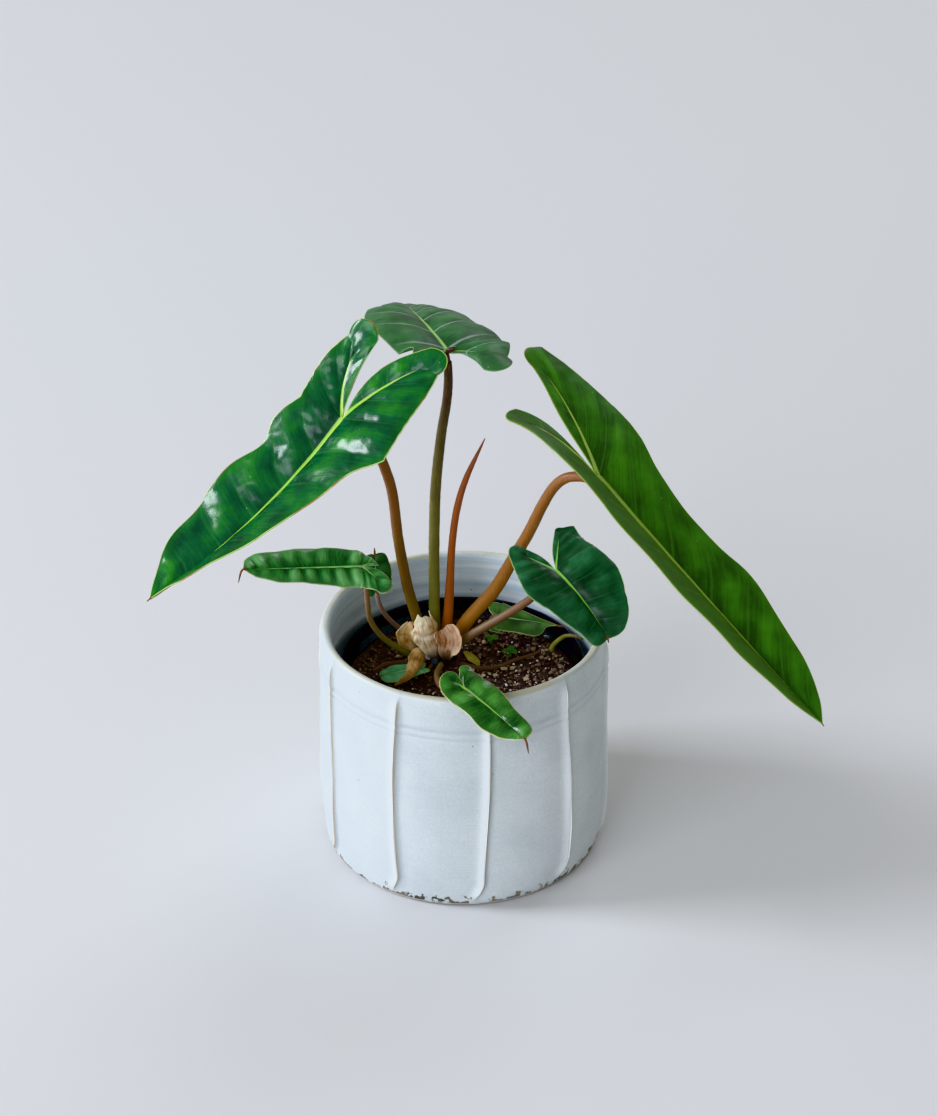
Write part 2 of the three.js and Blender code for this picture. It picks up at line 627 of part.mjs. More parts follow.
function crownSolid() {
  const { radius: r, bottom, top } = CROWN;
  const profile = [[0, bottom], [0.6 * r, bottom], [0.95 * r, bottom + 6], [0.9 * r, 106],
    [1.02 * r, 108], [0.93 * r, 110.5], [1.04 * r, 113], [0.85 * r, top - 1], [0, top]];
  const stem = new THREE.LatheGeometry(profile.map(([x, y]) => new THREE.Vector2(x, y)), 12);
  stem.rotateX(Math.PI / 2);
  stem.translate(CROWN.x, CROWN.y, 0);
  const feet = Object.values(PETIOLES).filter((petiole) => !petiole.inSoil)
    .map((petiole) => crownFoot(petiole.path, petiole.radii[0]));
  return join([toSolid(stem), crownFoot(SPIKE.path, SPIKE.radii[0]), ...feet]);
}

// Soil

const LOW_PETIOLES = ['narrow', 'front', 'low'];   // their feet leave the crown at the soil

// height of the soil's surface: low swells and a mound round the crown
function soilHeight(x, y) {
  const away = Math.hypot(x - CROWN.x, y - CROWN.y) / SOIL.moundReach;
  return SOIL.level + SOIL.mound * Math.exp(-away * away)
    + 0.8 * Math.sin(x / 9 + 1) * Math.cos(y / 11) + 0.5 * Math.sin(x / 4.7 + y / 6.3);
}

// inner radius of the nursery pot at a height
function nurseryInside(z) {
  const { neckRadius, footRadius, wall, lipZ } = NURSERY;
  const floor = CACHEPOT.floorZ + GAP + wall;
  return footRadius - wall + ((neckRadius - footRadius) * (z - floor)) / (lipZ - floor);
}

function soilBody() {
  const { rings, columns } = SOIL;
  const bottom = CACHEPOT.floorZ + 2 * GAP + NURSERY.wall;
  const points = [[0, 0, soilHeight(0, 0)]];
  for (let i = 1; i <= rings; i += 1) {
    for (let j = 0; j < columns; j += 1) {
      const angle = (2 * Math.PI * (j + (i % 2) / 2)) / columns;
      let radius = ((nurseryInside(SOIL.level) - GAP) * i) / rings;
      let z = soilHeight(radius * Math.cos(angle), radius * Math.sin(angle));
      if (i === rings) {
        z = Math.min(z, SOIL.level + 0.5);
        radius = nurseryInside(z) - GAP;
      }
      points.push([radius * Math.cos(angle), radius * Math.sin(angle), z]);
    }
  }
  const rim = 1 + (rings - 1) * columns;
  for (let j = 0; j < columns; j += 1) {
    const [x, y] = points[rim + j];
    const shrink = (nurseryInside(bottom) - GAP) / Math.hypot(x, y);
    points.push([x * shrink, y * shrink, bottom]);
  }
  const centre = points.length;
  points.push([0, 0, bottom]);
  const triangles = [];
  for (let j = 0; j < columns; j += 1) {
    const k = (j + 1) % columns;
    triangles.push([0, 1 + j, 1 + k]);
    for (let i = 0; i < rings; i += 1) {
      const a = 1 + i * columns + j;
      const b = 1 + i * columns + k;
      triangles.push([a, a + columns, b], [b, a + columns, b + columns]);
    }
    triangles.push([centre, rim + columns + k, rim + columns + j]);
  }
  return toSolid(geometryFrom(points, triangles));
}

// bark, pumice and lumps of earth standing out of the surface
function granules() {
  const random = makeRandom(4711);
  const pieces = [];
  while (pieces.length < SOIL.granules) {
    const angle = 2 * Math.PI * random();
    const radius = 62 * Math.sqrt(random());
    const size = 1.2 + 1.3 * random() * random();
    const x = radius * Math.cos(angle);
    const y = radius * Math.sin(angle);
    const lump = new THREE.OctahedronGeometry(1.15 * size, 0);
    lump.scale(1, 0.6 + 0.4 * random(), 0.6);
    lump.rotateZ(Math.PI * random());
    lump.translate(x, y, soilHeight(x, y) + 0.1);
    if (Math.hypot(x - CROWN.x, y - CROWN.y) > CROWN.radius + 5) pieces.push(toSolid(lump));
  }
  return join(pieces);
}

// the room that a round stem needs in the soil
function burrow(stem, steps) {
  const room = 1.5 * GAP;
  const ends = [[0, 1], [stem.path.length - 1, stem.path.length - 2]].map(([end, inner]) => {
    const place = vec(stem.path[end]);
    return place.clone().sub(vec(stem.path[inner])).setLength(room).add(place).toArray();
  });
  const wide = stem.radii.map((radius) => radius + room);
  return toSolid(tube(curveThrough([ends[0], ...stem.path.slice(1, -1), ends[1]]), wide,
    SIDES_PETIOLE, steps));
}

function soilSolid() {
  const { x, y, bottom, radius } = CROWN;
  const hole = new THREE.CylinderGeometry(1.06 * radius + GAP, 1.06 * radius + GAP, 40, 18);
  hole.rotateX(Math.PI / 2);
  hole.translate(x, y, bottom - GAP + 20);
  const cuts = [toSolid(hole), burrow(YELLOW_STEM, 6), burrow(SURFACE_ROOT, 12),
    burrow(OLD_PETIOLE, 6), burrow(PETIOLES.back, 4),
    ...LOW_PETIOLES.map((name) => crownFoot(PETIOLES[name].path, PETIOLES[name].radii[0] + GAP))];
  for (const { x: sx, y: sy } of SEEDLINGS) cuts.push(seedlingHole(sx, sy));
  return soilBody().add(granules()).subtract(join(cuts));
}

// Strips, stems and seedlings

const STRIP_CLEARANCE = 1.3;           // middle of a strip that lies on the soil, above it

function stripSolid({ path, widths, faces, cup, rows, columns, thickness, onSoil = false }) {
  const curve = curveThrough(path);
  const grid = [];
  for (let i = 0; i <= rows; i += 1) {
    const u = i / rows;
    const centre = curve.getPointAt(u);
    const along = curve.getTangentAt(u);
    const side = along.clone().cross(vec(faces)).normalize();
    const up = side.clone().cross(along);
    const width = through(widths, u);
    const row = [];
    for (let j = 0; j <= columns; j += 1) {
      const w = (2 * j) / columns - 1;
      const point = centre.clone().addScaledVector(side, w * width)
        .addScaledVector(up, cup * width * w * w);
      if (onSoil) point.z += soilHeight(point.x, point.y) + STRIP_CLEARANCE;
      row.push(point);
    }
    grid.push(row);
  }
  return toSolid(thickSheet([{ rows: grid, flip: false }], thickness));
}

const SEEDLING_STEM = 0.8;

function seedlingHole(x, y) {
  const hole = new THREE.CylinderGeometry(SEEDLING_STEM + GAP, SEEDLING_STEM + GAP, 14, 10);
  hole.rotateX(Math.PI / 2);
  hole.translate(x, y, soilHeight(x, y) + 4);
  return toSolid(hole);
}

// a sprout: a short stem in its hole in the soil, with a few small leaves
function seedlingSolid({ x, y, turn, size, leaves }) {
  const ground = soilHeight(x, y);
  const top = ground + 3.4;
  const parts = [toSolid(tube(curveThrough([[x, y, ground - 2.5], [x, y, top]]),
    [SEEDLING_STEM, SEEDLING_STEM], SIDES_THIN, 2))];
  for (let i = 0; i < leaves; i += 1) {
    const angle = rad(turn + (360 * i) / leaves);
    const step = (r, lift) => [x + r * Math.cos(angle), y + r * Math.sin(angle), top + lift];
    parts.push(stripSolid({
      path: [step(-0.3, -0.3), step(0.5 * size, 0.8), step(size, 0.6)],
      widths: [0.5, 0.34 * size, 0.4], faces: [0, 0, 1], cup: 0.2, rows: 3, columns: 2,
      thickness: 0.7,
    }));
  }
  return join(parts);
}

const stemSolid = (stem, sides, steps) => (
  toSolid(tube(curveThrough(stem.path), stem.radii, sides, steps)));

// Pots

// the cachepot as columns of one closed profile; the columns follow ten pinched ridges that
// wander a little on their way up
function cachepotSolid() {
  const {
    ridges, firstRidge, ridgeHeight, ridgeHalfAngle, ridgesEndZ, wander, plainColumns, rimWave,
    rimWaveFromZ,
  } = CACHEPOT;
  const lipZ = CACHEPOT_LIP[1][1];
  const pitch = 360 / ridges;
  const perRidge = plainColumns + 3;
  const profile = [
    ...CACHEPOT_OUTSIDE.map(([r, z]) => [r, z, 1]),
    ...CACHEPOT_LIP.map(([r, z]) => [r, z, 0]),
    ...CACHEPOT_INSIDE.map(([r, z]) => [r, z, 0]),
  ];
  const drift = (ridge, z) => wander * Math.sin(z / 31 + 2.1 * (ridge % ridges));
  const points = [];
  for (let c = 0; c < ridges * perRidge; c += 1) {
    const ridge = Math.floor(c / perRidge);
    const m = c % perRidge;
    let offset = 0;
    if (m > 0) {
      offset = ridgeHalfAngle + ((pitch - 2 * ridgeHalfAngle) * (m - 1)) / (perRidge - 2);
    }
    const share = offset / pitch;
    for (const [radius, z, outside] of profile) {
      const crest = m === 0 && outside && z > 1 && z < ridgesEndZ ? ridgeHeight : 0;
      const sway = drift(ridge, z) * (1 - share) + drift(ridge + 1, z) * share;
      const angle = rad(firstRidge + ridge * pitch + offset + sway * outside);
      const lift = rimWave * Math.max(z - rimWaveFromZ, 0) / (lipZ - rimWaveFromZ)
        * (Math.sin(2 * angle + 0.6) + 0.6 * Math.sin(5 * angle));
      const r = radius + crest;
      points.push([r * Math.sin(angle), -r * Math.cos(angle), z + lift]);
    }
  }
  const rows = profile.length;
  const columns = ridges * perRidge;
  const foot = points.length;
  points.push([0, 0, 0], [0, 0, CACHEPOT.floorZ]);
  const triangles = [];
  for (let c = 0; c < columns; c += 1) {
    const a = c * rows;
    const b = ((c + 1) % columns) * rows;
    for (let i = 0; i + 1 < rows; i += 1) {
      triangles.push([a + i, b + i, a + i + 1], [b + i, b + i + 1, a + i + 1]);
    }
    triangles.push([foot, b, a], [foot + 1, a + rows - 1, b + rows - 1]);
  }
  return toSolid(geometryFrom(points, triangles));
}

function nurserySolid() {
  const { rimZ, rimRadius, lipZ, neckRadius, footRadius, wall } = NURSERY;
  const floor = CACHEPOT.floorZ + GAP;
  const profile = [
    [0, floor], [footRadius, floor], [neckRadius, lipZ], [rimRadius - 0.4, lipZ + 0.6],
    [rimRadius, rimZ], [rimRadius - wall, rimZ], [rimRadius - wall - 0.6, lipZ + 2.2],
    [neckRadius - wall, lipZ], [footRadius - wall, floor + wall], [0, floor + wall],
  ];
  const shell = new THREE.LatheGeometry(profile.map(([x, y]) => new THREE.Vector2(x, y)), 36);
  shell.rotateX(Math.PI / 2);
  const holes = [];
  for (let i = 0; i < NURSERY.drainHoles; i += 1) {
    const angle = (2 * Math.PI * i) / NURSERY.drainHoles;
    const hole = new THREE.CylinderGeometry(NURSERY.drainRadius, NURSERY.drainRadius, 8, 10);
    hole.rotateX(Math.PI / 2);
    hole.translate(NURSERY.drainRing * Math.cos(angle), NURSERY.drainRing * Math.sin(angle), floor);
    holes.push(toSolid(hole));
  }
  return toSolid(shell).subtract(join(holes));
}

// Materials

const finish = (color, roughness) => new THREE.MeshStandardMaterial({
  color, roughness, metalness: 0,
});
const GLAZE = finish('#c9d4d9', 0.4);
const BLACK_PLASTIC = finish('#17161a', 0.3);
const EARTH = finish('#2b1f1c', 0.95);
const LEAF = finish('#1f6b34', 0.35);
const LEAF_MATT = finish('#2c5a36', 0.55);
const ORANGE_STALK = finish('#9a5a22', 0.5);
const OLIVE_STALK = finish('#5d5327', 0.5);
const PINK_STALK = finish('#8a6656', 0.55);
const CORK = finish('#5a473a', 0.9);
const PAPER = finish('#c39a62', 0.8);
const YELLOW_GREEN = finish('#a5a53a', 0.5);

// The assembly

const plant = new THREE.Group();
plant.name = 'potted_philodendron';

function add(parent, name, solid, material) {
  const mesh = new THREE.Mesh(fromSolid(solid), material);
  mesh.name = name;
  parent.add(mesh);
}

const vessel = new THREE.Group();
plant.add(vessel);
add(vessel, 'cachepot', cachepotSolid(), GLAZE);
add(vessel, 'nursery_pot', nurserySolid(), BLACK_PLASTIC);
add(vessel, 'soil', soilSolid(), EARTH);

const shoots = new THREE.Group();
plant.add(shoots);
add(shoots, 'crown', crownSolid(), CORK);
const STALK_MATERIALS = {
  left: ORANGE_STALK, right: ORANGE_STALK, top: OLIVE_STALK, narrow: OLIVE_STALK,
};
for (const name of Object.keys(BLADES)) {
  add(shoots, `petiole_${name}`, petioleSolid(name), STALK_MATERIALS[name] ?? PINK_STALK);
  add(shoots, `blade_${name}`, bladeSolid(name), name === 'top' ? LEAF_MATT : LEAF);
}
add(shoots, 'new_leaf_spike', stemSolid(SPIKE, SIDES_PETIOLE, 12), ORANGE_STALK);
for (const [name, strip] of Object.entries(STRIPS)) {
  add(shoots, name, stripSolid(strip), name === 'fallen_leaf' ? YELLOW_GREEN : PAPER);
}
add(shoots, 'yellow_stem', stemSolid(YELLOW_STEM, SIDES_THIN, 8), YELLOW_GREEN);
add(shoots, 'surface_root', stemSolid(SURFACE_ROOT, SIDES_THIN, 12), CORK);
add(shoots, 'old_petiole', stemSolid(OLD_PETIOLE, SIDES_THIN, 6), CORK);
SEEDLINGS.forEach((seedling, i) => {
  add(shoots, `seedling_${i + 1}`, seedlingSolid(seedling), LEAF);
});

export default plant;
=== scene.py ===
# %% [markdown]
# # A potted philodendron billietiae
# The real object is a young aroid with nine leaves. It grows in a black plastic nursery pot, and
# that pot stands in a ribbed cachepot of pale glazed stoneware. The solids of the plant and the
# pots come first, as a fixed frame in metres. The pieces below take the places of those solids with
# finer surfaces, so the sizes that follow are the same sizes, in millimetres. Only loose crumbs, a
# cut stub and two bud scales are added to them.

# %% The frame
import functools
import itertools
import math

import bpy
import numpy as np
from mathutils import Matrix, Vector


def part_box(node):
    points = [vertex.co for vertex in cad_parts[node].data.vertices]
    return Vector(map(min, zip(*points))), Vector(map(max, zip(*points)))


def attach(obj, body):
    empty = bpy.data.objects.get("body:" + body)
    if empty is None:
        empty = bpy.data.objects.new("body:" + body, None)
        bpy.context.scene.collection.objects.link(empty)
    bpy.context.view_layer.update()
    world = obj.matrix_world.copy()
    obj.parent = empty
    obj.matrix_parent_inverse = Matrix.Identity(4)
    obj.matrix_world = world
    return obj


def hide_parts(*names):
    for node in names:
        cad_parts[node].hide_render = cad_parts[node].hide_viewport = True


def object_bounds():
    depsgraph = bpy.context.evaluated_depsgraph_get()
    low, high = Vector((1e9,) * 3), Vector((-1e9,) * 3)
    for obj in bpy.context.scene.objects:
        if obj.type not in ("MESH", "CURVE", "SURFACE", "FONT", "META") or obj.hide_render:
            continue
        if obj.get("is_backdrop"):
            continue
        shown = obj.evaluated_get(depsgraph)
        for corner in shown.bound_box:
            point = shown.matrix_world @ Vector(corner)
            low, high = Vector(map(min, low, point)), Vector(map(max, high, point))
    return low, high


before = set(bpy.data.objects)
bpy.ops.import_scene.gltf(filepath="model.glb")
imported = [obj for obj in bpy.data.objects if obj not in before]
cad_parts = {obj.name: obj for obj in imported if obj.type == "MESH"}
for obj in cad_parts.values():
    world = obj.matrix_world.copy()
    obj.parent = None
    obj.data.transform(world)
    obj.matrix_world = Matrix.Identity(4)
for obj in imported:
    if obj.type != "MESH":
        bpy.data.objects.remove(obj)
cad_box = [list(corner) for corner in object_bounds()]
MM = 0.001
print("solids in the frame:", len(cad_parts))

# %% [markdown]
# ## The camera
# The view looks down on the pot from the front by about 31 degrees. Its lens follows from the
# picture: a focal length of 2800 pixels on a side of 1116 pixels, on a 36 mm sensor.

# %% The camera
LONG_SIDE = 1116
FOCAL_PIXELS = 2800
SENSOR = 36.0
LOOK_DOWN = 30.914

lens = bpy.data.cameras.new("camera")
lens.sensor_width = SENSOR
lens.lens = SENSOR * FOCAL_PIXELS / LONG_SIDE
camera = bpy.data.objects.new("camera", lens)
camera.location = (0.0035, -1.4075, 1.0348)
camera.rotation_euler = (math.radians(90 - LOOK_DOWN), 0, 0)
bpy.context.collection.objects.link(camera)
bpy.context.scene.camera = camera
print(f"lens {lens.lens:.1f} mm")

# %% [markdown]
# ## Tools for shapes
# Every shape is a grid of points that a formula gives for two parameters, all points at once.
# These few helpers read a smooth curve through given values, follow a bending path, and turn a
# grid into triangles. Points that fall on each other are welded, which closes poles and seams.

# %% Curves and noise
LATTICE = 32


def through(values, u):
    """The smooth (Catmull-Rom) curve through evenly spaced values, read at shares u from 0 to 1:
    a cubic between two values whose slopes are half the difference of their neighbours."""
    v = np.asarray(values, float)
    x = np.clip(u, 0, 1) * (len(v) - 1)
    i = np.minimum(x.astype(int), len(v) - 2)
    f = x - i
    padded = np.concatenate([[2 * v[0] - v[1]], v, [2 * v[-1] - v[-2]]])
    a, b, c, d = (padded[i + k] for k in range(4))
    cubic = (3 * b - a - 3 * c + d) * f**3 + (2 * a - 5 * b + 4 * c - d) * f**2
    return 0.5 * (cubic + (c - a) * f + 2 * b)


def smooth_path(points, steps=24):
    """The centripetal Catmull-Rom curve through the points, in short steps: a cubic per span, with
    knots spaced by the square root of each span's length, so that it neither loops nor cuts corners."""
    p = np.asarray(points, float)
    p = np.vstack([2 * p[0] - p[1], p, 2 * p[-1] - p[-2]])
    knots = np.sqrt(np.linalg.norm(np.diff(p, axis=0), axis=1))[:, None]
    p0, p1, p2, p3 = p[:-3], p[1:-2], p[2:-1], p[3:]
    d0, d1, d2 = knots[:-2], knots[1:-1], knots[2:]
    leave = ((p1 - p0) / d0 - (p2 - p0) / (d0 + d1) + (p2 - p1) / d1) * d1
    arrive = ((p2 - p1) / d1 - (p3 - p1) / (d1 + d2) + (p3 - p2) / d2) * d1
    s = np.linspace(0, 1, steps, endpoint=False)[None, :, None]
    square = (3 * (p2 - p1) - 2 * leave - arrive)[:, None]
    cube = (2 * (p1 - p2) + leave + arrive)[:, None]
    curve = p1[:, None] + leave[:, None] * s + square * s**2 + cube * s**3
    return np.vstack([curve.reshape(-1, p.shape[1]), p[-2]])


def at_shares(path, shares):
    """Points and unit directions of a path at shares of its length, and that length. A direction
    runs from a little behind the point to a little ahead of it."""
    lengths = np.r_[0, np.cumsum(np.linalg.norm(np.diff(path, axis=0), axis=1))]
    x = np.asarray(shares) * lengths[-1]
    little = 0.002 * lengths[-1]
    read = lambda s: np.stack([np.interp(s, lengths, path[:, k]) for k in range(path.shape[1])], -1)
    ahead = read(np.minimum(x + little, lengths[-1])) - read(np.maximum(x - little, 0))
    return read(x), ahead / np.linalg.norm(ahead, axis=-1, keepdims=True), lengths[-1]


def path_length(points):
    """Length of the smooth path through the points."""
    return at_shares(smooth_path(points), [0.0])[2]


def unit(v):
    """Vectors brought to length 1."""
    return v / np.maximum(np.linalg.norm(v, axis=-1, keepdims=True), 1e-12)


def smooth(x):
    """The smooth step: 3 x squared minus 2 x cubed, held between 0 and 1."""
    x = np.clip(x, 0, 1)
    return x * x * (3 - 2 * x)


def lumps(points, size, seed):
    """Value noise from -1 to 1: random numbers on a cubic lattice of that spacing in mm, blended
    between the eight corners of a cell by the smooth step."""
    table = np.random.default_rng(seed).uniform(-1, 1, (LATTICE, LATTICE, LATTICE))
    q = np.asarray(points, float) / size + LATTICE / 2 + 0.5
    cell = np.floor(q).astype(int)
    f = smooth(q - cell)
    total = 0
    for corner in itertools.product((0, 1), repeat=3):
        weight = np.prod(np.where(corner, f, 1 - f), axis=-1)
        x, y, z = ((cell[..., k] + corner[k]) % LATTICE for k in range(3))
        total = total + weight * table[x, y, z]
    return total


# %% [markdown]
# A part is a dictionary with points, triangles and numbers at each point, such as how far a point
# of a leaf lies from its midrib. Materials read those numbers, so a vein stays on its vein.

# %% Grids, welds and pieces
# The step in mm within which points are welded, the radii of a tube's two end rings as shares of
# its own, and the angle in degrees above which an edge is sharp.
WELD = 0.002
CAP = [0, 0.5]
SHARP_ANGLE = 50


def grid_part(points, wrap=False, flip=False, **layers):
    """Two triangles for each cell of a grid of points; with wrap the last column meets the first."""
    rows, columns = points.shape[:2]
    i, j = np.meshgrid(np.arange(rows - 1), np.arange(columns - (not wrap)), indexing="ij")
    k = (j + 1) % columns
    a, b, c, d = i * columns + j, (i + 1) * columns + j, (i + 1) * columns + k, i * columns + k
    triangles = np.stack([a, b, d, b, c, d], -1).reshape(-1, 3)
    if flip:
        triangles = triangles[:, ::-1]
    flat = {name: np.broadcast_to(v, (rows, columns)).ravel() for name, v in layers.items()}
    return {"points": points.reshape(-1, 3), "triangles": triangles, "layers": flat}


def joined(parts):
    """Several parts as one, with the later points counted on from the earlier ones."""
    starts = np.cumsum([0] + [len(p["points"]) for p in parts])
    names = sorted({name for p in parts for name in p["layers"]})
    layer = lambda p, name: p["layers"].get(name, np.zeros(len(p["points"])))
    return {
        "points": np.vstack([p["points"] for p in parts]),
        "triangles": np.vstack([p["triangles"] + s for p, s in zip(parts, starts)]),
        "layers": {name: np.concatenate([layer(p, name) for p in parts]) for name in names},
    }


def welded(part):
    """Points that fall on each other become one, and triangles that lose a corner go."""
    keys = np.round(part["points"] / WELD).astype(np.int64)
    _, first, back = np.unique(keys, axis=0, return_index=True, return_inverse=True)
    t = back.reshape(-1)[part["triangles"]]
    t = t[(t[:, 0] != t[:, 1]) & (t[:, 1] != t[:, 2]) & (t[:, 0] != t[:, 2])]
    layers = {name: v[first] for name, v in part["layers"].items()}
    return {"points": part["points"][first], "triangles": t, "layers": layers}


def point_normals(points, triangles):
    """Unit normals at the points: the sum of the normals of the triangles round each."""
    a, b, c = (points[triangles[:, k]] for k in range(3))
    n = np.cross(b - a, c - a)
    total = np.zeros_like(points)
    for k in range(3):
        np.add.at(total, triangles[:, k], n)
    return unit(total)


def sheet_shell(part, upper, lower):
    """A closed skin round an open sheet: the sheet moved up along its normals, the sheet moved down
    and turned over, and a strip of wall along each edge that only one triangle has."""
    points, t = part["points"], part["triangles"]
    normals = point_normals(points, t)
    count = len(points)
    edges = np.vstack([t[:, [0, 1]], t[:, [1, 2]], t[:, [2, 0]]])
    lone = ~np.isin(edges[:, 0] * count + edges[:, 1], edges[:, 1] * count + edges[:, 0])
    p, q = edges[lone].T
    walls = np.vstack([np.stack([q, p, p + count], -1), np.stack([q, p + count, q + count], -1)])
    layers = {name: np.r_[v, v] for name, v in part["layers"].items()}
    layers["under"] = np.r_[np.zeros(count), np.ones(count)]
    return {
        "points": np.vstack([points + normals * upper[:, None], points - normals * lower[:, None]]),
        "triangles": np.vstack([t, t[:, ::-1] + count, walls]),
        "layers": layers,
    }


def sweep(path, radii, sides, spacing, start=0.0, end=1.0, rough=0.0, seed=1):
    """A round tube along a smooth path: at even steps a ring of points, centre + radius times
    (cos a * normal + sin a * binormal). The ends close in two shrinking rings."""
    curve = smooth_path(path)
    _, _, length = at_shares(curve, [0.0])
    count = max(int(length * (end - start) / spacing), 6)
    shares = np.linspace(0, 1, count + 1)
    centre, along, _ = at_shares(curve, start + (end - start) * shares)
    axis = np.eye(3)[np.argmin(np.abs(along).max(axis=0))]
    normal = unit(axis - (along @ axis)[:, None] * along)
    binormal = np.cross(along, normal)
    angle = np.linspace(0, 2 * np.pi, sides, endpoint=False)[:, None]
    ring = np.cos(angle) * normal[:, None] + np.sin(angle) * binormal[:, None]
    bumps = 1 + rough * lumps(centre[:, None] + 2 * ring, 2.2, seed)
    rows = np.r_[0, 0, np.arange(count + 1), count, count]
    radius = through(radii, shares)[rows] * np.r_[CAP, np.ones(count + 1), CAP[::-1]]
    out = ring[rows] * radius[:, None, None] * bumps[rows][..., None]
    points = centre[rows][:, None] + out
    return welded(grid_part(points, wrap=True, flip=True, share=shares[rows][:, None]))


def make_piece(name, parts, node=None):
    """Joins parts into one smooth mesh object in metres. Each part is (geometry, material). The
    object rides on the plant's one body and stands for the solid that node names."""
    whole = joined([part for part, _ in parts])
    mesh = bpy.data.meshes.new(name)
    points, triangles = whole["points"] * MM, whole["triangles"].astype(np.int32)
    mesh.vertices.add(len(points))
    mesh.vertices.foreach_set("co", points.astype(np.float32).ravel())
    mesh.loops.add(triangles.size)
    mesh.loops.foreach_set("vertex_index", triangles.ravel())
    mesh.polygons.add(len(triangles))
    mesh.polygons.foreach_set("loop_start", np.arange(0, triangles.size, 3, dtype=np.int32))
    slots = []
    for _, material in parts:
        if material not in slots:
            slots.append(material)
            mesh.materials.append(material)
    index = np.concatenate([np.full(len(p["triangles"]), slots.index(m)) for p, m in parts])
    mesh.polygons.foreach_set("material_index", index.astype(np.int32))
    for layer, values in whole["layers"].items():
        data = mesh.attributes.new(layer, "FLOAT", "POINT").data
        data.foreach_set("value", values.astype(np.float32))
    mesh.update(calc_edges=True)
    mesh.validate()
    mesh.shade_smooth()
    mesh.set_sharp_from_angle(angle=math.radians(SHARP_ANGLE))
    piece = bpy.data.objects.new(name, mesh)
    bpy.context.collection.objects.link(piece)
    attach(piece, "root")
    if node:
        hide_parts(node)
    print(f"{name}: {len(triangles)} triangles")
    return piece


# %% [markdown]
# ## Tools for materials
# A picture editor gives colours as sRGB hex codes, and a shader wants linear light. One function
# turns one into the other, and one function adds a node with its settings and links.

# %% Colours and nodes
def linear(code):
    """Linear red, green, blue and alpha of an sRGB hex code: a channel c becomes c / 12.92 up to
    0.04045, and above it (c + 0.055) / 1.055 to the power 2.4."""
    c = np.array([int(code[k : k + 2], 16) for k in (1, 3, 5)]) / 255
    return (*np.where(c <= 0.04045, c / 12.92, ((c + 0.055) / 1.055) ** 2.4).tolist(), 1.0)


def add_node(tree, kind, *values, out=None, stops=(), **settings):
    """Adds one node and gives back one of its outputs. kind may carry a second word, which is the
    node's operation or data type. values go to the inputs in use, in order: a number, a hex colour,
    another node's output, or None to leave one as it is. stops are a colour ramp's places and hex
    colours, and out names an output other than the first."""
    kind, *mode = kind.split()
    node = tree.nodes.new("ShaderNode" + kind)
    if mode:
        setattr(node, "operation" if hasattr(node, "operation") else "data_type", mode[0])
    for key, value in settings.items():
        setattr(node, key, value)
    for socket, value in zip([s for s in node.inputs if s.enabled], values):
        if isinstance(value, bpy.types.NodeSocket):
            tree.links.new(value, socket)
        elif value is not None:
            socket.default_value = linear(value) if isinstance(value, str) else value
    for k, (place, colour) in enumerate(stops):
        ramp = node.color_ramp.elements
        stop = ramp[k] if k < 2 else ramp.new(place)
        stop.position = place
        stop.color = linear(colour)
    return node.outputs[out] if out else next(s for s in node.outputs if s.enabled)


def new_material(name, **values):
    """A material with one Principled shader, whose plain values are set on its own sockets. With it
    comes add_node for the material's own tree."""
    material = bpy.data.materials.new(name)
    material.use_nodes = True
    shader = material.node_tree.nodes["Principled BSDF"]
    for key, value in values.items():
        shader.inputs[key.replace("_", " ")].default_value = value
    return material, functools.partial(add_node, material.node_tree)


def wire(material, **outputs):
    """Links outputs to the shader's sockets of those names, and gives back the material."""
    tree = material.node_tree
    for key, output in outputs.items():
        tree.links.new(output, tree.nodes["Principled BSDF"].inputs[key.replace("_", " ")])
    return material


# %% [markdown]
# ## The stage
# A plain pale floor and soft daylight: a window on the left, which puts crisp blue-white highlights
# on the waxy leaves, a broad bright wall at the front left for the pot, a weaker window behind on
# the right that shines through the thin leaves, and a pale room all round.

# %% Floor and lights
FLOOR = 6.0
floor_mesh = bpy.data.meshes.new("floor")
corners = [(-FLOOR, -FLOOR, 0), (FLOOR, -FLOOR, 0), (FLOOR, FLOOR, 0), (-FLOOR, FLOOR, 0)]
floor_mesh.from_pydata(corners, [], [(0, 1, 2, 3)])
floor = bpy.data.objects.new("floor", floor_mesh)
bpy.context.collection.objects.link(floor)
floor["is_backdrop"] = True

plaster, add = new_material("pale_plaster", Roughness=0.85)
tone = add("ValToRGB", add("TexNoise", None, 2.5, 4), stops=[(0.3, "#d2d4d8"), (0.7, "#dbd8d8")])
floor_mesh.materials.append(wire(plaster, Base_Color=tone))


def area_light(name, place, aim, width, height, power, colour):
    """A rectangle of light at place, turned so that it shines at aim."""
    light = bpy.data.lights.new(name, "AREA")
    light.shape = "RECTANGLE"
    light.size, light.size_y = width, height
    light.energy = power
    light.color = linear(colour)[:3]
    lamp = bpy.data.objects.new(name, light)
    lamp.location = place
    direction = lamp.location.copy()
    direction.x, direction.y, direction.z = (a - p for a, p in zip(aim, place))
    lamp.rotation_euler = direction.to_track_quat("-Z", "Y").to_euler()
    bpy.context.collection.objects.link(lamp)


area_light("window_left", (-4.4, 0.0, 2.6), (0, 0, 0.2), 1.5, 2.2, 215, "#eef4ff")
area_light("room_front", (-3.2, -4.6, 2.6), (0, 0, 0.12), 4.2, 4.2, 238, "#eaf2ff")
area_light("window_back", (2.2, 4.0, 3.7), (0, 0, 0.2), 3, 3, 88, "#f2f6ff")

world = bpy.data.worlds.new("sky")
world.use_nodes = True
background = world.node_tree.nodes["Background"]
background.inputs["Color"].default_value = linear("#e9e7dc")
background.inputs["Strength"].default_value = 0.45
bpy.context.scene.world = world
bpy.context.scene.view_settings.view_transform = "Khronos PBR Neutral"

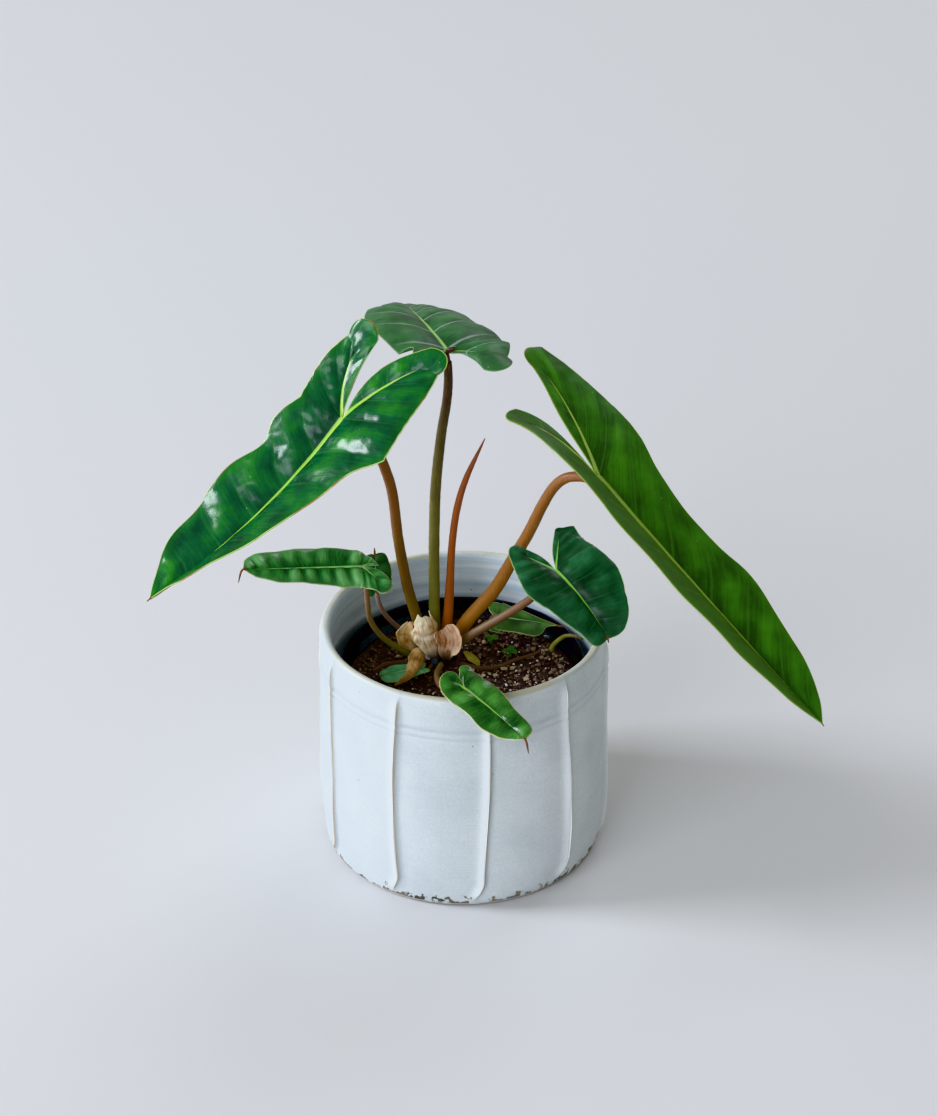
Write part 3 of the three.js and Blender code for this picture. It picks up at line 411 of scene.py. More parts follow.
# %% [markdown]
# ## The cachepot
# The real pot is thrown stoneware with a pale blue-white satin glaze. Ten ridges are pinched out
# of the wall while it is soft, and lean and wander a little as they rise. A lathe would make a dead
# straight pot, so here every column of the wall follows the ridges' drift, and each ridge is a
# lopsided bump: a long slope on its left, and a steep one on its right where the glaze breaks. Two
# shallow rings from the wheel run round below the lip.

# %% The cachepot's shape
GAP = 0.3
OUTSIDE = [
    (80, 0), (82.6, 0.8), (84.4, 4), (86, 15), (87.2, 38), (87.2, 60), (86.6, 88), (85.9, 112),
    (85.2, 136), (85, 143.5),
]
TOP = 147.8
LIP = [(84.1, 147), (82.1, TOP), (80.2, 146.8)]
INSIDE = [(79.3, 143), (79.6, 118), (80.6, 70), (79.5, 24), (74, 10.5), (66, 8)]
POT_FLOOR, POT_RADIUS = 8, 86
RIDGES, FIRST_RIDGE, RIDGE_HEIGHT, RIDGES_END = 10, -62.5, 2.5, 147
STEEP_SLOPE, LONG_SLOPE, CROWDING = 1.2, 3.6, 0.13
WANDER, RIM_WAVE, RIM_WAVE_FROM = 1.1, 0.5, 120
HOOK, HOOK_TOP = 4.5, 20
COLUMNS_PER_RIDGE, WALL_ROWS = 48, 148
# Each ring is its height, its half width and its share of the depth. Between two shares of the
# wall's length lie extra rows, so that the rings stay crisp.
RINGS, RING_DEPTH = [(125.5, 1.3, 1), (120.5, 1.0, 0.8)], 0.5
RING_SHARES, RING_ROWS = (0.383, 0.427), 18


def cachepot_part():
    """Each column is the wall's profile in (radius, height) at one angle. Angles crowd towards the
    ridges. sway moves a column with its ridges, and the crest is a lopsided bell in mm from the
    ridge. hand is the unevenness of a thrown wall, and finger the ribs that fingers leave inside."""
    shares = np.r_[np.linspace(0, 1, WALL_ROWS), np.linspace(*RING_SHARES, RING_ROWS)]
    wall, _, _ = at_shares(smooth_path(OUTSIDE + LIP + INSIDE, 10), np.sort(shares))
    profile = np.vstack([[(0, 0), (40, 0), (76, 0)], wall, [(40, POT_FLOOR), (0, POT_FLOOR)]])
    radius, z = profile[:, :1], profile[:, 1:]
    lip_row = np.argmax(profile[:, 1])
    inner = (np.arange(len(profile)) > lip_row)[:, None]
    outside = ~inner * smooth((z - 0.5) / 3)
    s = np.arange(COLUMNS_PER_RIDGE) / COLUMNS_PER_RIDGE
    crowded = np.tile(s - CROWDING * np.sin(2 * np.pi * s), RIDGES)
    ridge = np.repeat(np.arange(RIDGES), COLUMNS_PER_RIDGE)
    pitch = 360 / RIDGES
    drift = lambda k: WANDER * np.sin(z / 31 + 2.1 * (k % RIDGES))
    hook = HOOK * smooth((HOOK_TOP - z) / HOOK_TOP)
    sway = drift(ridge) * (1 - crowded) + drift(ridge + 1) * crowded - hook
    angle = np.radians(FIRST_RIDGE + (ridge + crowded) * pitch + sway * outside)
    beside = np.where(crowded > 0.5, crowded - 1, crowded) * math.radians(pitch) * radius
    bell = np.exp(-((beside / np.where(beside > 0, STEEP_SLOPE, LONG_SLOPE)) ** 2))
    fades = smooth((RIDGES_END - z) / 12) * smooth((z - 4) / 8)
    strength = 0.85 + 0.15 * np.sin(z / 17 + 1.7 * ridge)
    crest = RIDGE_HEIGHT * bell * fades * strength * outside
    rings = sum(share * np.exp(-(((z - at) / half) ** 2)) for at, half, share in RINGS)
    place = [POT_RADIUS * np.sin(angle), POT_RADIUS * np.cos(angle), np.broadcast_to(z, angle.shape)]
    place = np.stack(place, -1)
    hand = 0.35 * lumps(place, 38, 3) + 0.12 * lumps(place * (1, 1, 3), 14, 4)
    finger = 0.18 * np.sin(z / 2.1 + 1.5 * np.sin(angle)) * inner * smooth((140 - z) / 10)
    reach = np.clip(z / 12, 0, 1) * (radius > 60)
    r = radius + crest + (hand - 0.35 - RING_DEPTH * rings * outside + finger) * reach
    rim = RIM_WAVE * np.maximum(z - RIM_WAVE_FROM, 0) / (TOP - RIM_WAVE_FROM)
    lift = rim * (np.sin(2 * angle + 0.6) + 0.6 * np.sin(5 * angle))
    points = np.stack([r * np.sin(angle), -r * np.cos(angle), z + lift], -1)
    layers = {"beside": beside, "crest": bell * fades * outside, "inner": inner, "ring": rings * outside}
    return welded(grid_part(points, wrap=True, flip=True, **layers))


# %% [markdown]
# The glaze is satin white slip over iron-bearing clay: a pale grey-blue coat with fine level lines
# from the wheel, thin and cream-brown where it breaks over the lip and the ridges. It has crawled
# off in ragged pits above the foot, and the last millimetre is bare brown clay. Fine dark specks
# are iron in the clay, half a millimetre wide. Light and shade are painted on as well: a painted
# highlight on the long slope of each ridge, painted shade beside its steep side, and painted light
# that makes the inside paler and bluer than the outside.

# %% Glazed stoneware
def glazed_stoneware():
    """Colour by height in metres and by distance from a ridge in mm, with noise in millimetre scales.
    Each mark covers what came before it by a share from 0 to 1."""
    material, add = new_material("glazed_stoneware", IOR=1.5, Coat_Weight=0.1)
    place = add("TexCoord", out="Object")
    height = add("SeparateXYZ", place, out="Z")
    keys = ("beside", "crest", "inner", "ring")
    beside, crest, inner, ring = (add("Attribute", attribute_name=key, out="Fac") for key in keys)
    cloud = add("TexNoise", place, 28, 5)
    fine = add("TexNoise", place, 750, 3)
    turned = add("TexNoise", add("Mapping", place, None, None, (70, 70, 900)), 1, 4)
    banded = add("TexNoise", add("Mapping", place, None, None, (8, 8, 420)), 1, 3)

    lines = add("ValToRGB", turned, stops=[(0.35, "#bac3c6"), (0.65, "#dde3e5")])
    mottle = add("ValToRGB", fine, stops=[(0.35, "#9da8ac"), (0.65, "#f2f5f6")])
    # Painted light: the inside is painted paler and bluer than the outside; the level bands in it are the
    # wheel's lines.
    inner_lines_painted_light = add("ValToRGB", banded, stops=[(0.3, "#ccdeec"), (0.7, "#f2f8fd")])
    clay = add("ValToRGB", cloud, stops=[(0.4, "#54503f"), (0.6, "#938a78")])
    # Painted highlight: the long left slope of each ridge is painted lighter.
    painted_ridge_highlight = add("Math MULTIPLY", add("MapRange", beside, 0, 0.2, 0.85, 0), crest)
    # Painted shade: a darker band beside the steep right side of each ridge.
    painted_ridge_shade = add("MapRange", beside, 1, 4.5, 0.4, 0)
    painted_ridge_shade = add("Math MULTIPLY", painted_ridge_shade, add("MapRange", beside, 0.3, 1))
    thin = add("MapRange", beside, 0.5, 1.1, 1, 0)
    for share in (add("MapRange", beside, 0.05, 0.3), add("MapRange", crest, 0.1, 0.5), cloud):
        thin = add("Math MULTIPLY", thin, share)
    thin = add("Math MULTIPLY", thin, 1.5, use_clamp=True)
    lip = add("MapRange", height, 0.1458, 0.147)
    lip = add("Math MULTIPLY", lip, add("MapRange", cloud, 0.35, 0.55, 0.3, 1))
    specks = add("MapRange", add("TexVoronoi", place, 210), 0.07, 0.12, 1, 0)
    rare = add("MapRange", add("TexNoise", place, 90), 0.62, 0.68)
    crawl = add("Math MULTIPLY_ADD", add("TexNoise", place, 230, 4), 0.03, -0.0125)
    pits = add("MapRange", add("Math SUBTRACT", height, crawl), 0.0008, 0.0018, 1, 0)
    pits = add("Math MULTIPLY", pits, add("MapRange", height, 0.0018, 0.003))

    marks = [
        (0.12, lines), (0.1, mottle), (add("Math MULTIPLY", ring, 0.45), "#b3bfc8"),
        (painted_ridge_highlight, "#ebeff1"), (painted_ridge_shade, "#a3adb0"), (thin, "#b39a70"), (inner, inner_lines_painted_light), (lip, "#c6c3b2"),
        (add("Math MULTIPLY", specks, rare), "#6b6f70"), (pits, clay),
        (add("MapRange", height, 0.0008, 0.0014, 1, 0), "#a07f58"),
    ]
    colour = add("ValToRGB", cloud, stops=[(0.3, "#c3ccd0"), (0.5, "#ced6da"), (0.7, "#d6dde0")])
    for share, tone in marks:
        colour = add("Mix RGBA", share, colour, tone)
    rough = add("MapRange", pits, 0, 1, 0.42, 0.8)
    relief = add("Math MULTIPLY_ADD", turned, 0.25, add("Math MULTIPLY_ADD", pits, -2, fine))
    bump = add("Bump", 0.35, 0.0004, None, relief)
    return wire(material, Base_Color=colour, Roughness=rough, Normal=bump)


make_piece("cachepot_glazed", [(cachepot_part(), glazed_stoneware())], "cachepot")

# %% [markdown]
# ## The nursery pot
# A thin black pot of moulded polypropylene, with a stiff turned rim. Only its inner rim shows, and
# it is glossy and a little dented. It is a lathe shape, with its five drain holes cut by a Boolean.

# %% The nursery pot
RIM_Z, RIM_MIDDLE, LIP_Z, WALL = 120, 115, 108.5, 1.5
RIM_RADIUS, NECK_RADIUS, FOOT_RADIUS = 73.8, 70.6, 54
DRAIN_HOLES, DRAIN_RADIUS, DRAIN_RING = 5, 4, 36
NURSERY_FLOOR = POT_FLOOR + GAP


def lathe_part(profile, columns, dents=0.0):
    """A profile of (radius, height) turned round the vertical axis, with soft dents of that depth."""
    r, z = np.asarray(profile, float).T[..., None]
    angle = np.linspace(0, 2 * np.pi, columns, endpoint=False)
    place = np.stack(np.broadcast_arrays(60 * np.cos(angle), 60 * np.sin(angle), z), -1)
    radius = r - dents * (1 + lumps(place, 16, 9)) * (r > 45)
    points = np.stack(np.broadcast_arrays(radius * np.cos(angle), radius * np.sin(angle), z), -1)
    return welded(grid_part(points, wrap=True, flip=True))


def nursery_profile():
    """Outside and inside of the pot's wall, its corners rounded, with extra rows to dent."""
    low, r = NURSERY_FLOOR, RIM_RADIUS
    outside = [(FOOT_RADIUS - 1, low), (FOOT_RADIUS, low + 1)]
    for s in np.linspace(0.05, 1, 12):
        outside.append((FOOT_RADIUS + (NECK_RADIUS - FOOT_RADIUS) * s, low + (LIP_Z - low) * s))
    inside = [(x - WALL, max(z, low + WALL)) for x, z in outside[:1:-1]]
    outside += [(r - 0.6, LIP_Z + 0.5), (r - 0.2, LIP_Z + 1.2), (r - 0.05, RIM_MIDDLE)]
    rim = [(r, RIM_Z - 0.6), (r - 0.4, RIM_Z), (r - WALL + 0.3, RIM_Z), (r - WALL, RIM_Z - 0.5)]
    rim += [(r - WALL - 0.2, RIM_MIDDLE), (r - WALL - 0.6, LIP_Z + 2.2)]
    return [(0, low), *outside, *rim, *inside, (0, low + WALL)]


plastic, add = new_material("black_polypropylene", Roughness=0.22, IOR=1.49)
dust = add("TexNoise", add("TexCoord", out="Object"), 60, 5)
black = add("ValToRGB", dust, stops=[(0.45, "#0b0a0d"), (0.75, "#2a2630")])
wire(plastic, Base_Color=black, Normal=add("Bump", 0.7, 0.002, None, dust))

pot_part = lathe_part(nursery_profile(), 120, 0.2)
pot = make_piece("nursery_pot_fine", [(pot_part, plastic)], "nursery_pot")
drill_parts = []
for k in range(DRAIN_HOLES):
    turn = 2 * math.pi * k / DRAIN_HOLES
    x, y = DRAIN_RING * math.cos(turn), DRAIN_RING * math.sin(turn)
    drill = sweep([(x, y, POT_FLOOR - 4), (x, y, POT_FLOOR + 5)], [DRAIN_RADIUS] * 2, 24, 1.2)
    drill_parts.append((drill, plastic))
drills = make_piece("drain_drills", drill_parts)
cut = pot.modifiers.new("drain_holes", "BOOLEAN")
cut.object = drills
cut.operation = "DIFFERENCE"
bpy.context.view_layer.objects.active = pot
bpy.ops.object.modifier_apply(modifier=cut.name)
bpy.data.objects.remove(drills)

# %% [markdown]
# ## The potting mix
# Dark peat with bark, earth crumbs and white perlite. The bed is a round height field with low
# swells, a mound at the crown and crumbs of three sizes in relief. Loose crumbs lie on it as many
# small lumps of twenty faces each, sunk in a little, because a bump alone would look flat from the
# side.

# %% The soil bed
SOIL_LEVEL, MOUND, MOUND_REACH = 107.5, 2.6, 19
CROWN_X, CROWN_Y, CROWN_BOTTOM, CROWN_TOP, CROWN_RADIUS = -13, 23, 93, 117, 11
CRUMB_REACH, CROWN_CLEARANCE = 66, 4


def soil_height(x, y):
    """Height of the soil: its level, a bell-shaped mound round the crown, and two low swells."""
    away = np.hypot(x - CROWN_X, y - CROWN_Y) / MOUND_REACH
    swells = 0.8 * np.sin(x / 9 + 1) * np.cos(y / 11) + 0.5 * np.sin(x / 4.7 + y / 6.3)
    return SOIL_LEVEL + MOUND * np.exp(-away * away) + swells


def soil_edge(z):
    """Radius of the soil at a height: the nursery pot's inner radius, less a gap."""
    base = NURSERY_FLOOR + WALL
    return FOOT_RADIUS - WALL + (NECK_RADIUS - FOOT_RADIUS) * (z - base) / (LIP_Z - base) - GAP - 0.2


def soil_part():
    """Rings of points at even steps out to the pot's wall, then the wall down and the bottom."""
    edge = soil_edge(SOIL_LEVEL)
    angle = np.linspace(0, 2 * np.pi, 360, endpoint=False)
    r = np.linspace(0, edge, 80)[:, None]
    x, y = r * np.cos(angle), r * np.sin(angle)
    z = soil_height(x, y)
    place = np.stack([x, y, z], -1)
    crumbs = 0.9 * lumps(place, 4.2, 11) + 0.7 * np.abs(lumps(place, 2.1, 12)) + 0.35 * lumps(place, 1.2, 13)
    z = z + (crumbs - 0.5) * smooth((edge - r) / 4 + 0.3)
    top = np.stack([x, y, np.minimum(z, np.where(r > edge - 2, SOIL_LEVEL + 0.5, np.inf))], -1)
    low = NURSERY_FLOOR + WALL + GAP
    wall_z = np.array([SOIL_LEVEL - 2, 90, 60, 30, low])[:, None]
    wall_r = soil_edge(wall_z)
    wall = np.stack(np.broadcast_arrays(wall_r * np.cos(angle), wall_r * np.sin(angle), wall_z), -1)
    bottom = np.zeros_like(wall[:1]) + (0, 0, low)
    return welded(grid_part(np.vstack([top, wall, bottom]), wrap=True))


def crumbs_part(count, sizes, seed, flat, crowd):
    """Small lumps strewn over the soil: an icosahedron's twelve points, each pushed in or out at
    random, stretched, flattened, turned about the vertical and sunk a little into the surface. Up
    to the share crowd of them is dropped, the most on the left and at the back."""
    rng = np.random.default_rng(seed)
    golden = (1 + 5**0.5) / 2
    corners = np.array([(a, b * golden, 0) for a, b in itertools.product((-1, 1), repeat=2)])
    corners = unit(np.vstack([np.roll(corners, k, axis=1) for k in range(3)]))
    near = np.linalg.norm(corners[:, None] - corners[None], axis=-1) < 1.2
    faces = [f for f in itertools.combinations(range(12), 3) if near[np.ix_(f, f)].all()]
    faces = np.array([f if np.linalg.det(corners[list(f)]) > 0 else f[::-1] for f in faces])
    angle, radius = rng.uniform(0, 2 * np.pi, count), CRUMB_REACH * np.sqrt(rng.uniform(0, 1, count))
    x, y = radius * np.cos(angle), radius * np.sin(angle)
    clear = np.hypot(x - CROWN_X, y - CROWN_Y) > CROWN_RADIUS + CROWN_CLEARANCE
    kept = clear & (rng.uniform(0, 1, count) > crowd * (1 - smooth((x - y + 30) / 60)))
    x, y = x[kept], y[kept]
    count = len(x)
    size = sizes[0] + (sizes[1] - sizes[0]) * rng.uniform(0, 1, count) ** 2.5
    shape = corners[None] * rng.uniform(0.7, 1.15, (count, 12, 1)) * size[:, None, None]
    shape = shape * np.stack([np.ones(count), rng.uniform(0.5, 1, count), np.full(count, flat)], -1)[:, None]
    turn = rng.uniform(0, 2 * np.pi, count)[:, None]
    spun_x = shape[..., 0] * np.cos(turn) - shape[..., 1] * np.sin(turn) + x[:, None]
    spun_y = shape[..., 0] * np.sin(turn) + shape[..., 1] * np.cos(turn) + y[:, None]
    z = shape[..., 2] + (soil_height(x, y) + 0.35 * size)[:, None]
    points = np.stack([spun_x, spun_y, z], -1).reshape(-1, 3)
    triangles = (faces[None] + 12 * np.arange(count)[:, None, None]).reshape(-1, 3)
    shade = np.repeat(rng.uniform(0, 1, count), 12)
    return {"points": points, "triangles": triangles, "layers": {"shade": shade}}


# %% Peat, bark and perlite
def crumb_material(name, dark, light, roughness):
    """Earthy stuff: a shade for each crumb, mottled by fine noise."""
    material, add = new_material(name, Roughness=roughness, IOR=1.4)
    fine = add("TexNoise", add("TexCoord", out="Object"), 500, 5)
    mixed = add("Mix", 0.5, fine, add("Attribute", attribute_name="shade", out="Fac"))
    colour = add("ValToRGB", mixed, stops=[(0.25, dark), (0.75, light)])
    return wire(material, Base_Color=colour, Normal=add("Bump", 0.8, 0.0008, None, fine))


peat = crumb_material("peat", "#3a2a27", "#98806f", 0.7)
bark = crumb_material("pine_bark", "#655048", "#ccb698", 0.65)
perlite = crumb_material("perlite", "#dccfc2", "#fbf6f0", 0.8)
make_piece("soil_fine", [(soil_part(), peat)], "soil")

# Loose crumbs: how many, least and greatest size, seed, flatness, and the share dropped on the left.
LOOSE = {
    "peat_crumbs": (peat, 1800, (0.6, 1.9), 21, 0.6, 0.0),
    "bark_chips": (bark, 700, (0.6, 2.5), 22, 0.5, 0.7),
    "perlite_grains": (perlite, 620, (0.4, 1.15), 23, 0.8, 0.8),
}
for name, (material, *crumbs) in LOOSE.items():
    make_piece(name, [(crumbs_part(*crumbs), material)])

# %% [markdown]
# ## Leaf blades
# A blade is two halves that meet at the midrib. Each half is a fan of lines from the rib out to
# the margin: along the midrib from the tip, out along the vein of the rear lobe, round its end and
# back. The halves fold up like an open book, the surface puckers between the side veins, and the
# margin waves. The same few sizes as the solid's give each leaf, on a far finer grid.

# %% The sizes of the nine blades
# Pairs are right half and left half, seen from above with the tip pointing away. Angles are in
# degrees and lengths in millimetres. Widths run from the junction to the tip. lobe pairs: costa
# length, splay, turn, lift, sag, then the reach of the outer side, the end, its cap, the inner side
# and its middle, and two folds. After them come the number and height of the quilts, the height and
# number of the margin's waves, the rib's size, and the drip tip's length and droop.
LOBE_KEYS = (
    "length", "splay", "turn", "lift", "sag", "outer", "end", "cap", "inner", "inner_middle", "fold",
    "inner_fold",
)
USUAL = {
    "turn": 0, "droop": 0, "droop_more": 0, "roll": 0, "twist": 0, "curl": (10, 10), "thickness": 0.75,
    "vein_sweep": 0.5,
}


def blade_sizes(junction, length, heading, pitch, widths, lobe, quilts, quilt_height, wave, rib, tip, **more):
    """One blade's sizes as a dictionary, with the usual ones where none are given."""
    sizes = dict(USUAL, junction=np.array(junction, float), length=length, heading=heading, pitch=pitch)
    sizes.update(widths=widths, lobe=dict(zip(LOBE_KEYS, lobe)), quilts=quilts, quilt_height=quilt_height)
    return dict(sizes, wave=wave, rib=rib, tip=tip, **more)


BLADES = {
    "left": blade_sizes(
        (-66.5, -35, 303), 148.5, 216, -43,
        [(27.5, 32.5, 30, 36.5, 37, 35.5, 34.5, 29.5, 21, 10.5),
         (48.5, 37.5, 34.5, 31.5, 30.5, 27.5, 23.5, 20.5, 17, 6.5)],
        [(38.5, 52), (45, 13), (-37, 19), (4, -3), (-3, 0), (19.5, 28.5), (11.5, 11), (20.5, 16),
         (15.5, 13), (8, 12), (12, 8), (16, 9)],
        6, 1.7, (1.2, 3.5), 1.9, (1.5, 0.2), droop=-28, roll=22, twist=-32, fold=(19, 31),
        curl=(8, 8), thickness=0.8, vein_sweep=1.1,
    ),
    "right": blade_sizes(
        (78, -5, 248.5), 203.5, -14, -48,
        [(39.5, 38, 37.5, 35, 32.5, 31, 27.5, 21.5, 12.5), (42.5, 36, 31.5, 33, 36, 33.5, 29, 23.5, 14)],
        [(52, 71), (4, 41), (-6, -23), (-2, 1), (34, 7), (24, 32), (13, 19), (14, 17), (16, 8.5),
         (5.5, 12.5), (25, 15), (10, 9)],
        6, 0.7, (0.6, 4), 2, (1.5, 0.2), turn=1, droop=-2, roll=-4, twist=-16, fold=(30, 31),
        thickness=0.8, vein_sweep=1.4,
    ),
    "top": blade_sizes(
        (-9, 12, 321.5), 155.5, 113, 6,
        [(39, 37, 34.5, 31, 26.5, 19, 10), (28, 34, 34, 30, 25, 19, 10)],
        [(20, 20), (72, 73), (-43, -31), (24, 32), (11, 16), (28, 15), (16, 10), (21, 11), (16.5, 10),
         (3.5, 8), (15, 17), (13, 15)],
        7, 0.8, (1, 3.5), 1.8, (1.5, 0.3), turn=-30, droop=73, droop_more=-45, roll=-8, fold=(24, 21),
        curl=(25, 25), thickness=0.8, vein_sweep=-0.3,
    ),
    "medium": blade_sizes(
        (54.5, -15, 192), 51.5, -51, -13,
        [(25.5, 23.5, 21, 18, 14.5), (28, 30.5, 27.5, 23.5, 15)],
        [(20.5, 26), (18, 41), (2, 4), (0, 1), (-4, -1), (17, 18.5), (10, 11.5), (11.5, 7), (6, 4.5),
         (5, 3.5), (13, 15), (13, 12)],
        4, 0.8, (0.6, 3), 1.4, (2.5, 1), turn=7, droop=36, roll=-13, fold=(12, 18), thickness=0.8,
    ),
    "narrow": blade_sizes(
        (-58.5, -15, 195), 69.5, 191, 5,
        [(12.5, 15, 16, 16, 14), (13.5, 12.5, 10.5, 10.5, 7.5)],
        [(6.5, 13), (27, 44), (-2, 7), (-4, -2), (6, 6), (7, 10), (3.5, 7), (3, 9), (5, 8), (2, 6),
         (9, 9), (13, 17)],
        8, 0.9, (0.5, 4), 1.2, (9, 3), roll=28, fold=(5, -1), vein_sweep=0.7,
    ),
    "behind": blade_sizes(
        (-51.2, 12.5, 164.3), 20, 95, 45,
        [(9.5, 10.5, 10.5, 8.5), (9, 9.5, 9, 7)],
        [(3, 3), (60, 50), (0, 0), (0, 0), (0, 0), (9, 9), (6, 6), (4, 5), (3, 4), (2, 2), (10, 10),
         (12, 12)],
        3, 0.5, (0.4, 2), 0.9, (4, -0.5), roll=-5, fold=(4, 4),
    ),
    "front": blade_sizes(
        (1, -80, 153.5), 54, -50, -3,
        [(12.5, 12.5, 14.5, 13.5, 7.5), (13, 14, 12.5, 11.5, 11)],
        [(6.5, 11.5), (8, 31), (-11, 16), (2, 0), (-3, 0), (11.5, 10.5), (10, 6), (10.5, 9), (5.5, 4),
         (3.5, 2), (9, 8), (15, 15)],
        4, 0.7, (0.4, 3), 1.1, (8, 2.5), droop=10, roll=-7, twist=-9, fold=(2, 15),
    ),
    "low": blade_sizes(
        (-24.5, 3.2, 112.9), 26.5, 200, 3,
        [(6.5, 7, 9, 7), (6, 9, 12, 8)],
        [(2, 2), (60, 60), (0, 0), (0, 0), (0, 0), (6, 6), (4, 4), (4, 4), (2.5, 2.5), (1.5, 1.5),
         (8, 8), (8, 8)],
        3, 0.4, (0.3, 2), 0.8, (3, 0.5), turn=-3, droop=10, roll=2, fold=(6, 7), curl=(5, 5),
    ),
    "back": blade_sizes(
        (21, 45, 123), 39.5, -14, 0,
        [(10.5, 11.5, 13.5, 3.5), (11, 8.5, 5.5, 3)],
        [(4.5, 3.5), (70, 60), (20, 5), (-4, -1), (5, 0), (10.5, 9.5), (10, 8), (7, 8), (4, 5), (2, 3),
         (6, 9), (10, 12)],
        3, 0.5, (0.5, 2), 0.9, (3, 0), droop=2, roll=-18, fold=(7, 9), curl=(5, 5),
    ),
}
# Each petiole is its path, from the crown up, and its radii at even steps along it.
PETIOLES = {
    "left": (
        [(-25, 24, 123), (-28.2, 23.8, 137.6), (-32.5, 22.5, 156), (-37.9, 17, 194.2), (-41.1, 7.5, 233.5),
         (-46.1, -2, 258), (-52, -12, 280), (-59, -22, 293.5)], [3.3, 3.2, 3.1, 3, 2.7],
    ),
    "top": (
        [(-17, 27.5, 124), (-17.1, 26, 150), (-17, 26, 185), (-15.8, 24.5, 225), (-12.4, 21, 262),
         (-8.4, 17, 292), (-8.2, 14, 310)], [3.3, 3.3, 3.2, 2.9, 2.5],
    ),
    "right": (
        [(-3.5, 22.5, 123), (2.9, 22.5, 134.9), (18.8, 21.5, 156.7), (29.7, 20, 178.6), (39.8, 17, 201),
         (46.6, 14, 219.3), (53.4, 10, 234.3), (60, 5.5, 242.6), (67.8, 1, 246)], [4.3, 4.1, 3.6, 3.3, 2.9],
    ),
    "medium": (
        [(-5, 14.5, 121), (4, 13.6, 129), (14.8, 12.5, 137.4), (23.5, 11, 144.2), (32.3, 8, 152.3),
         (39.1, 5, 159.7), (47.5, -4, 174)], [2.7, 2.6, 2.4, 2.2],
    ),
    "narrow": (
        [(-31, 16, 114), (-43.6, 8, 127.7), (-50.5, 2, 139.3), (-54.8, -4, 152.3), (-55.8, -9, 165),
         (-56.5, -12.5, 180)], [1.9, 1.7, 1.6, 1.5],
    ),
    "behind": (
        [(-29, 28, 117.5), (-36.5, 30, 122.5), (-42.2, 27, 130), (-47.4, 21, 141), (-50.4, 16.4, 152)],
        [1.6, 1.5, 1.4, 1.3],
    ),
    "front": (
        [(-13.2, 8, 112), (-15.4, -6, 114.2), (-13, -30, 122), (-6, -58, 138.5), (-1, -72, 149)],
        [1.9, 1.8, 1.7, 1.6],
    ),
    "low": ([(-18.6, 11, 110), (-20.4, 7.6, 109.7), (-22, 5.6, 110.2)], [1.1, 1]),
    "back": ([(16.5, 62, 101), (17.3, 59, 112), (19.3, 51, 119.5)], [1.4, 1.3, 1.2]),
}

# %% The midrib
WALK_STEPS = 480


def walk(direction, length):
    """A path of many equal steps that leaves zero in changing directions."""
    middles = (np.arange(WALK_STEPS) + 0.5) / WALK_STEPS
    return np.vstack([np.zeros(3), np.cumsum(direction(middles) * length / WALK_STEPS, axis=0)])


def read_path(path, u):
    """Points of a path of equal steps at shares u."""
    x = np.clip(u, 0, 1) * (len(path) - 1)
    return np.stack([np.interp(x, np.arange(len(path)), path[:, k]) for k in range(3)], -1)


def midrib(blade, u):
    """Place, direction, right and up of the midrib at shares u of its length. Its direction rises by
    pitch, less droop times u and droop_more times u squared, and turns by turn times u; the blade
    leans about it by roll plus twist times u."""

    def direction(s):
        rise = np.radians(blade["pitch"] - blade["droop"] * s - blade["droop_more"] * s * s)
        compass = np.radians(blade["heading"] + blade["turn"] * s)
        return np.stack([np.cos(rise) * np.cos(compass), np.cos(rise) * np.sin(compass), np.sin(rise)], -1)

    u = np.atleast_1d(np.asarray(u, float))
    path = walk(direction, blade["length"])
    compass = np.radians(blade["heading"] + blade["turn"] * u)
    level = np.stack([np.sin(compass), -np.cos(compass), np.zeros_like(u)], -1)
    along = direction(u)
    above = np.cross(level, along)
    lean = np.radians(blade["roll"] + blade["twist"] * u)[:, None]
    right = level * np.cos(lean) + above * np.sin(lean)
    up = above * np.cos(lean) - level * np.sin(lean)
    return blade["junction"] + read_path(path, u), along, right, up


# %% One half of a blade
# Degrees by which the side veins lean forwards, and how much they bend.
VEIN_AT_JUNCTION, VEIN_AT_TIP, VEIN_BEND = 8, 58, 0.12
# Directions of the lines at the lobe's outer corner and at its root, in degrees from the costa.
LOBE_CORNER, LOBE_ROOT = 45, 80
# Heights of the keel under the midrib and the lobe's vein, as shares of the rib's size.
MIDRIB_KEEL, LOBE_KEEL = 0.9, 0.7
# Paces round a lobe, as shares of those along the midrib: the margin's waves, and the side veins in
# a small lobe.
LOBE_WAVES, LEAST_LOBE_PACE = 0.35, 0.25
# Depth and length of the nicks in the margin.
NICK_DEPTH, NICK_SIZE = 0.35, 3.0


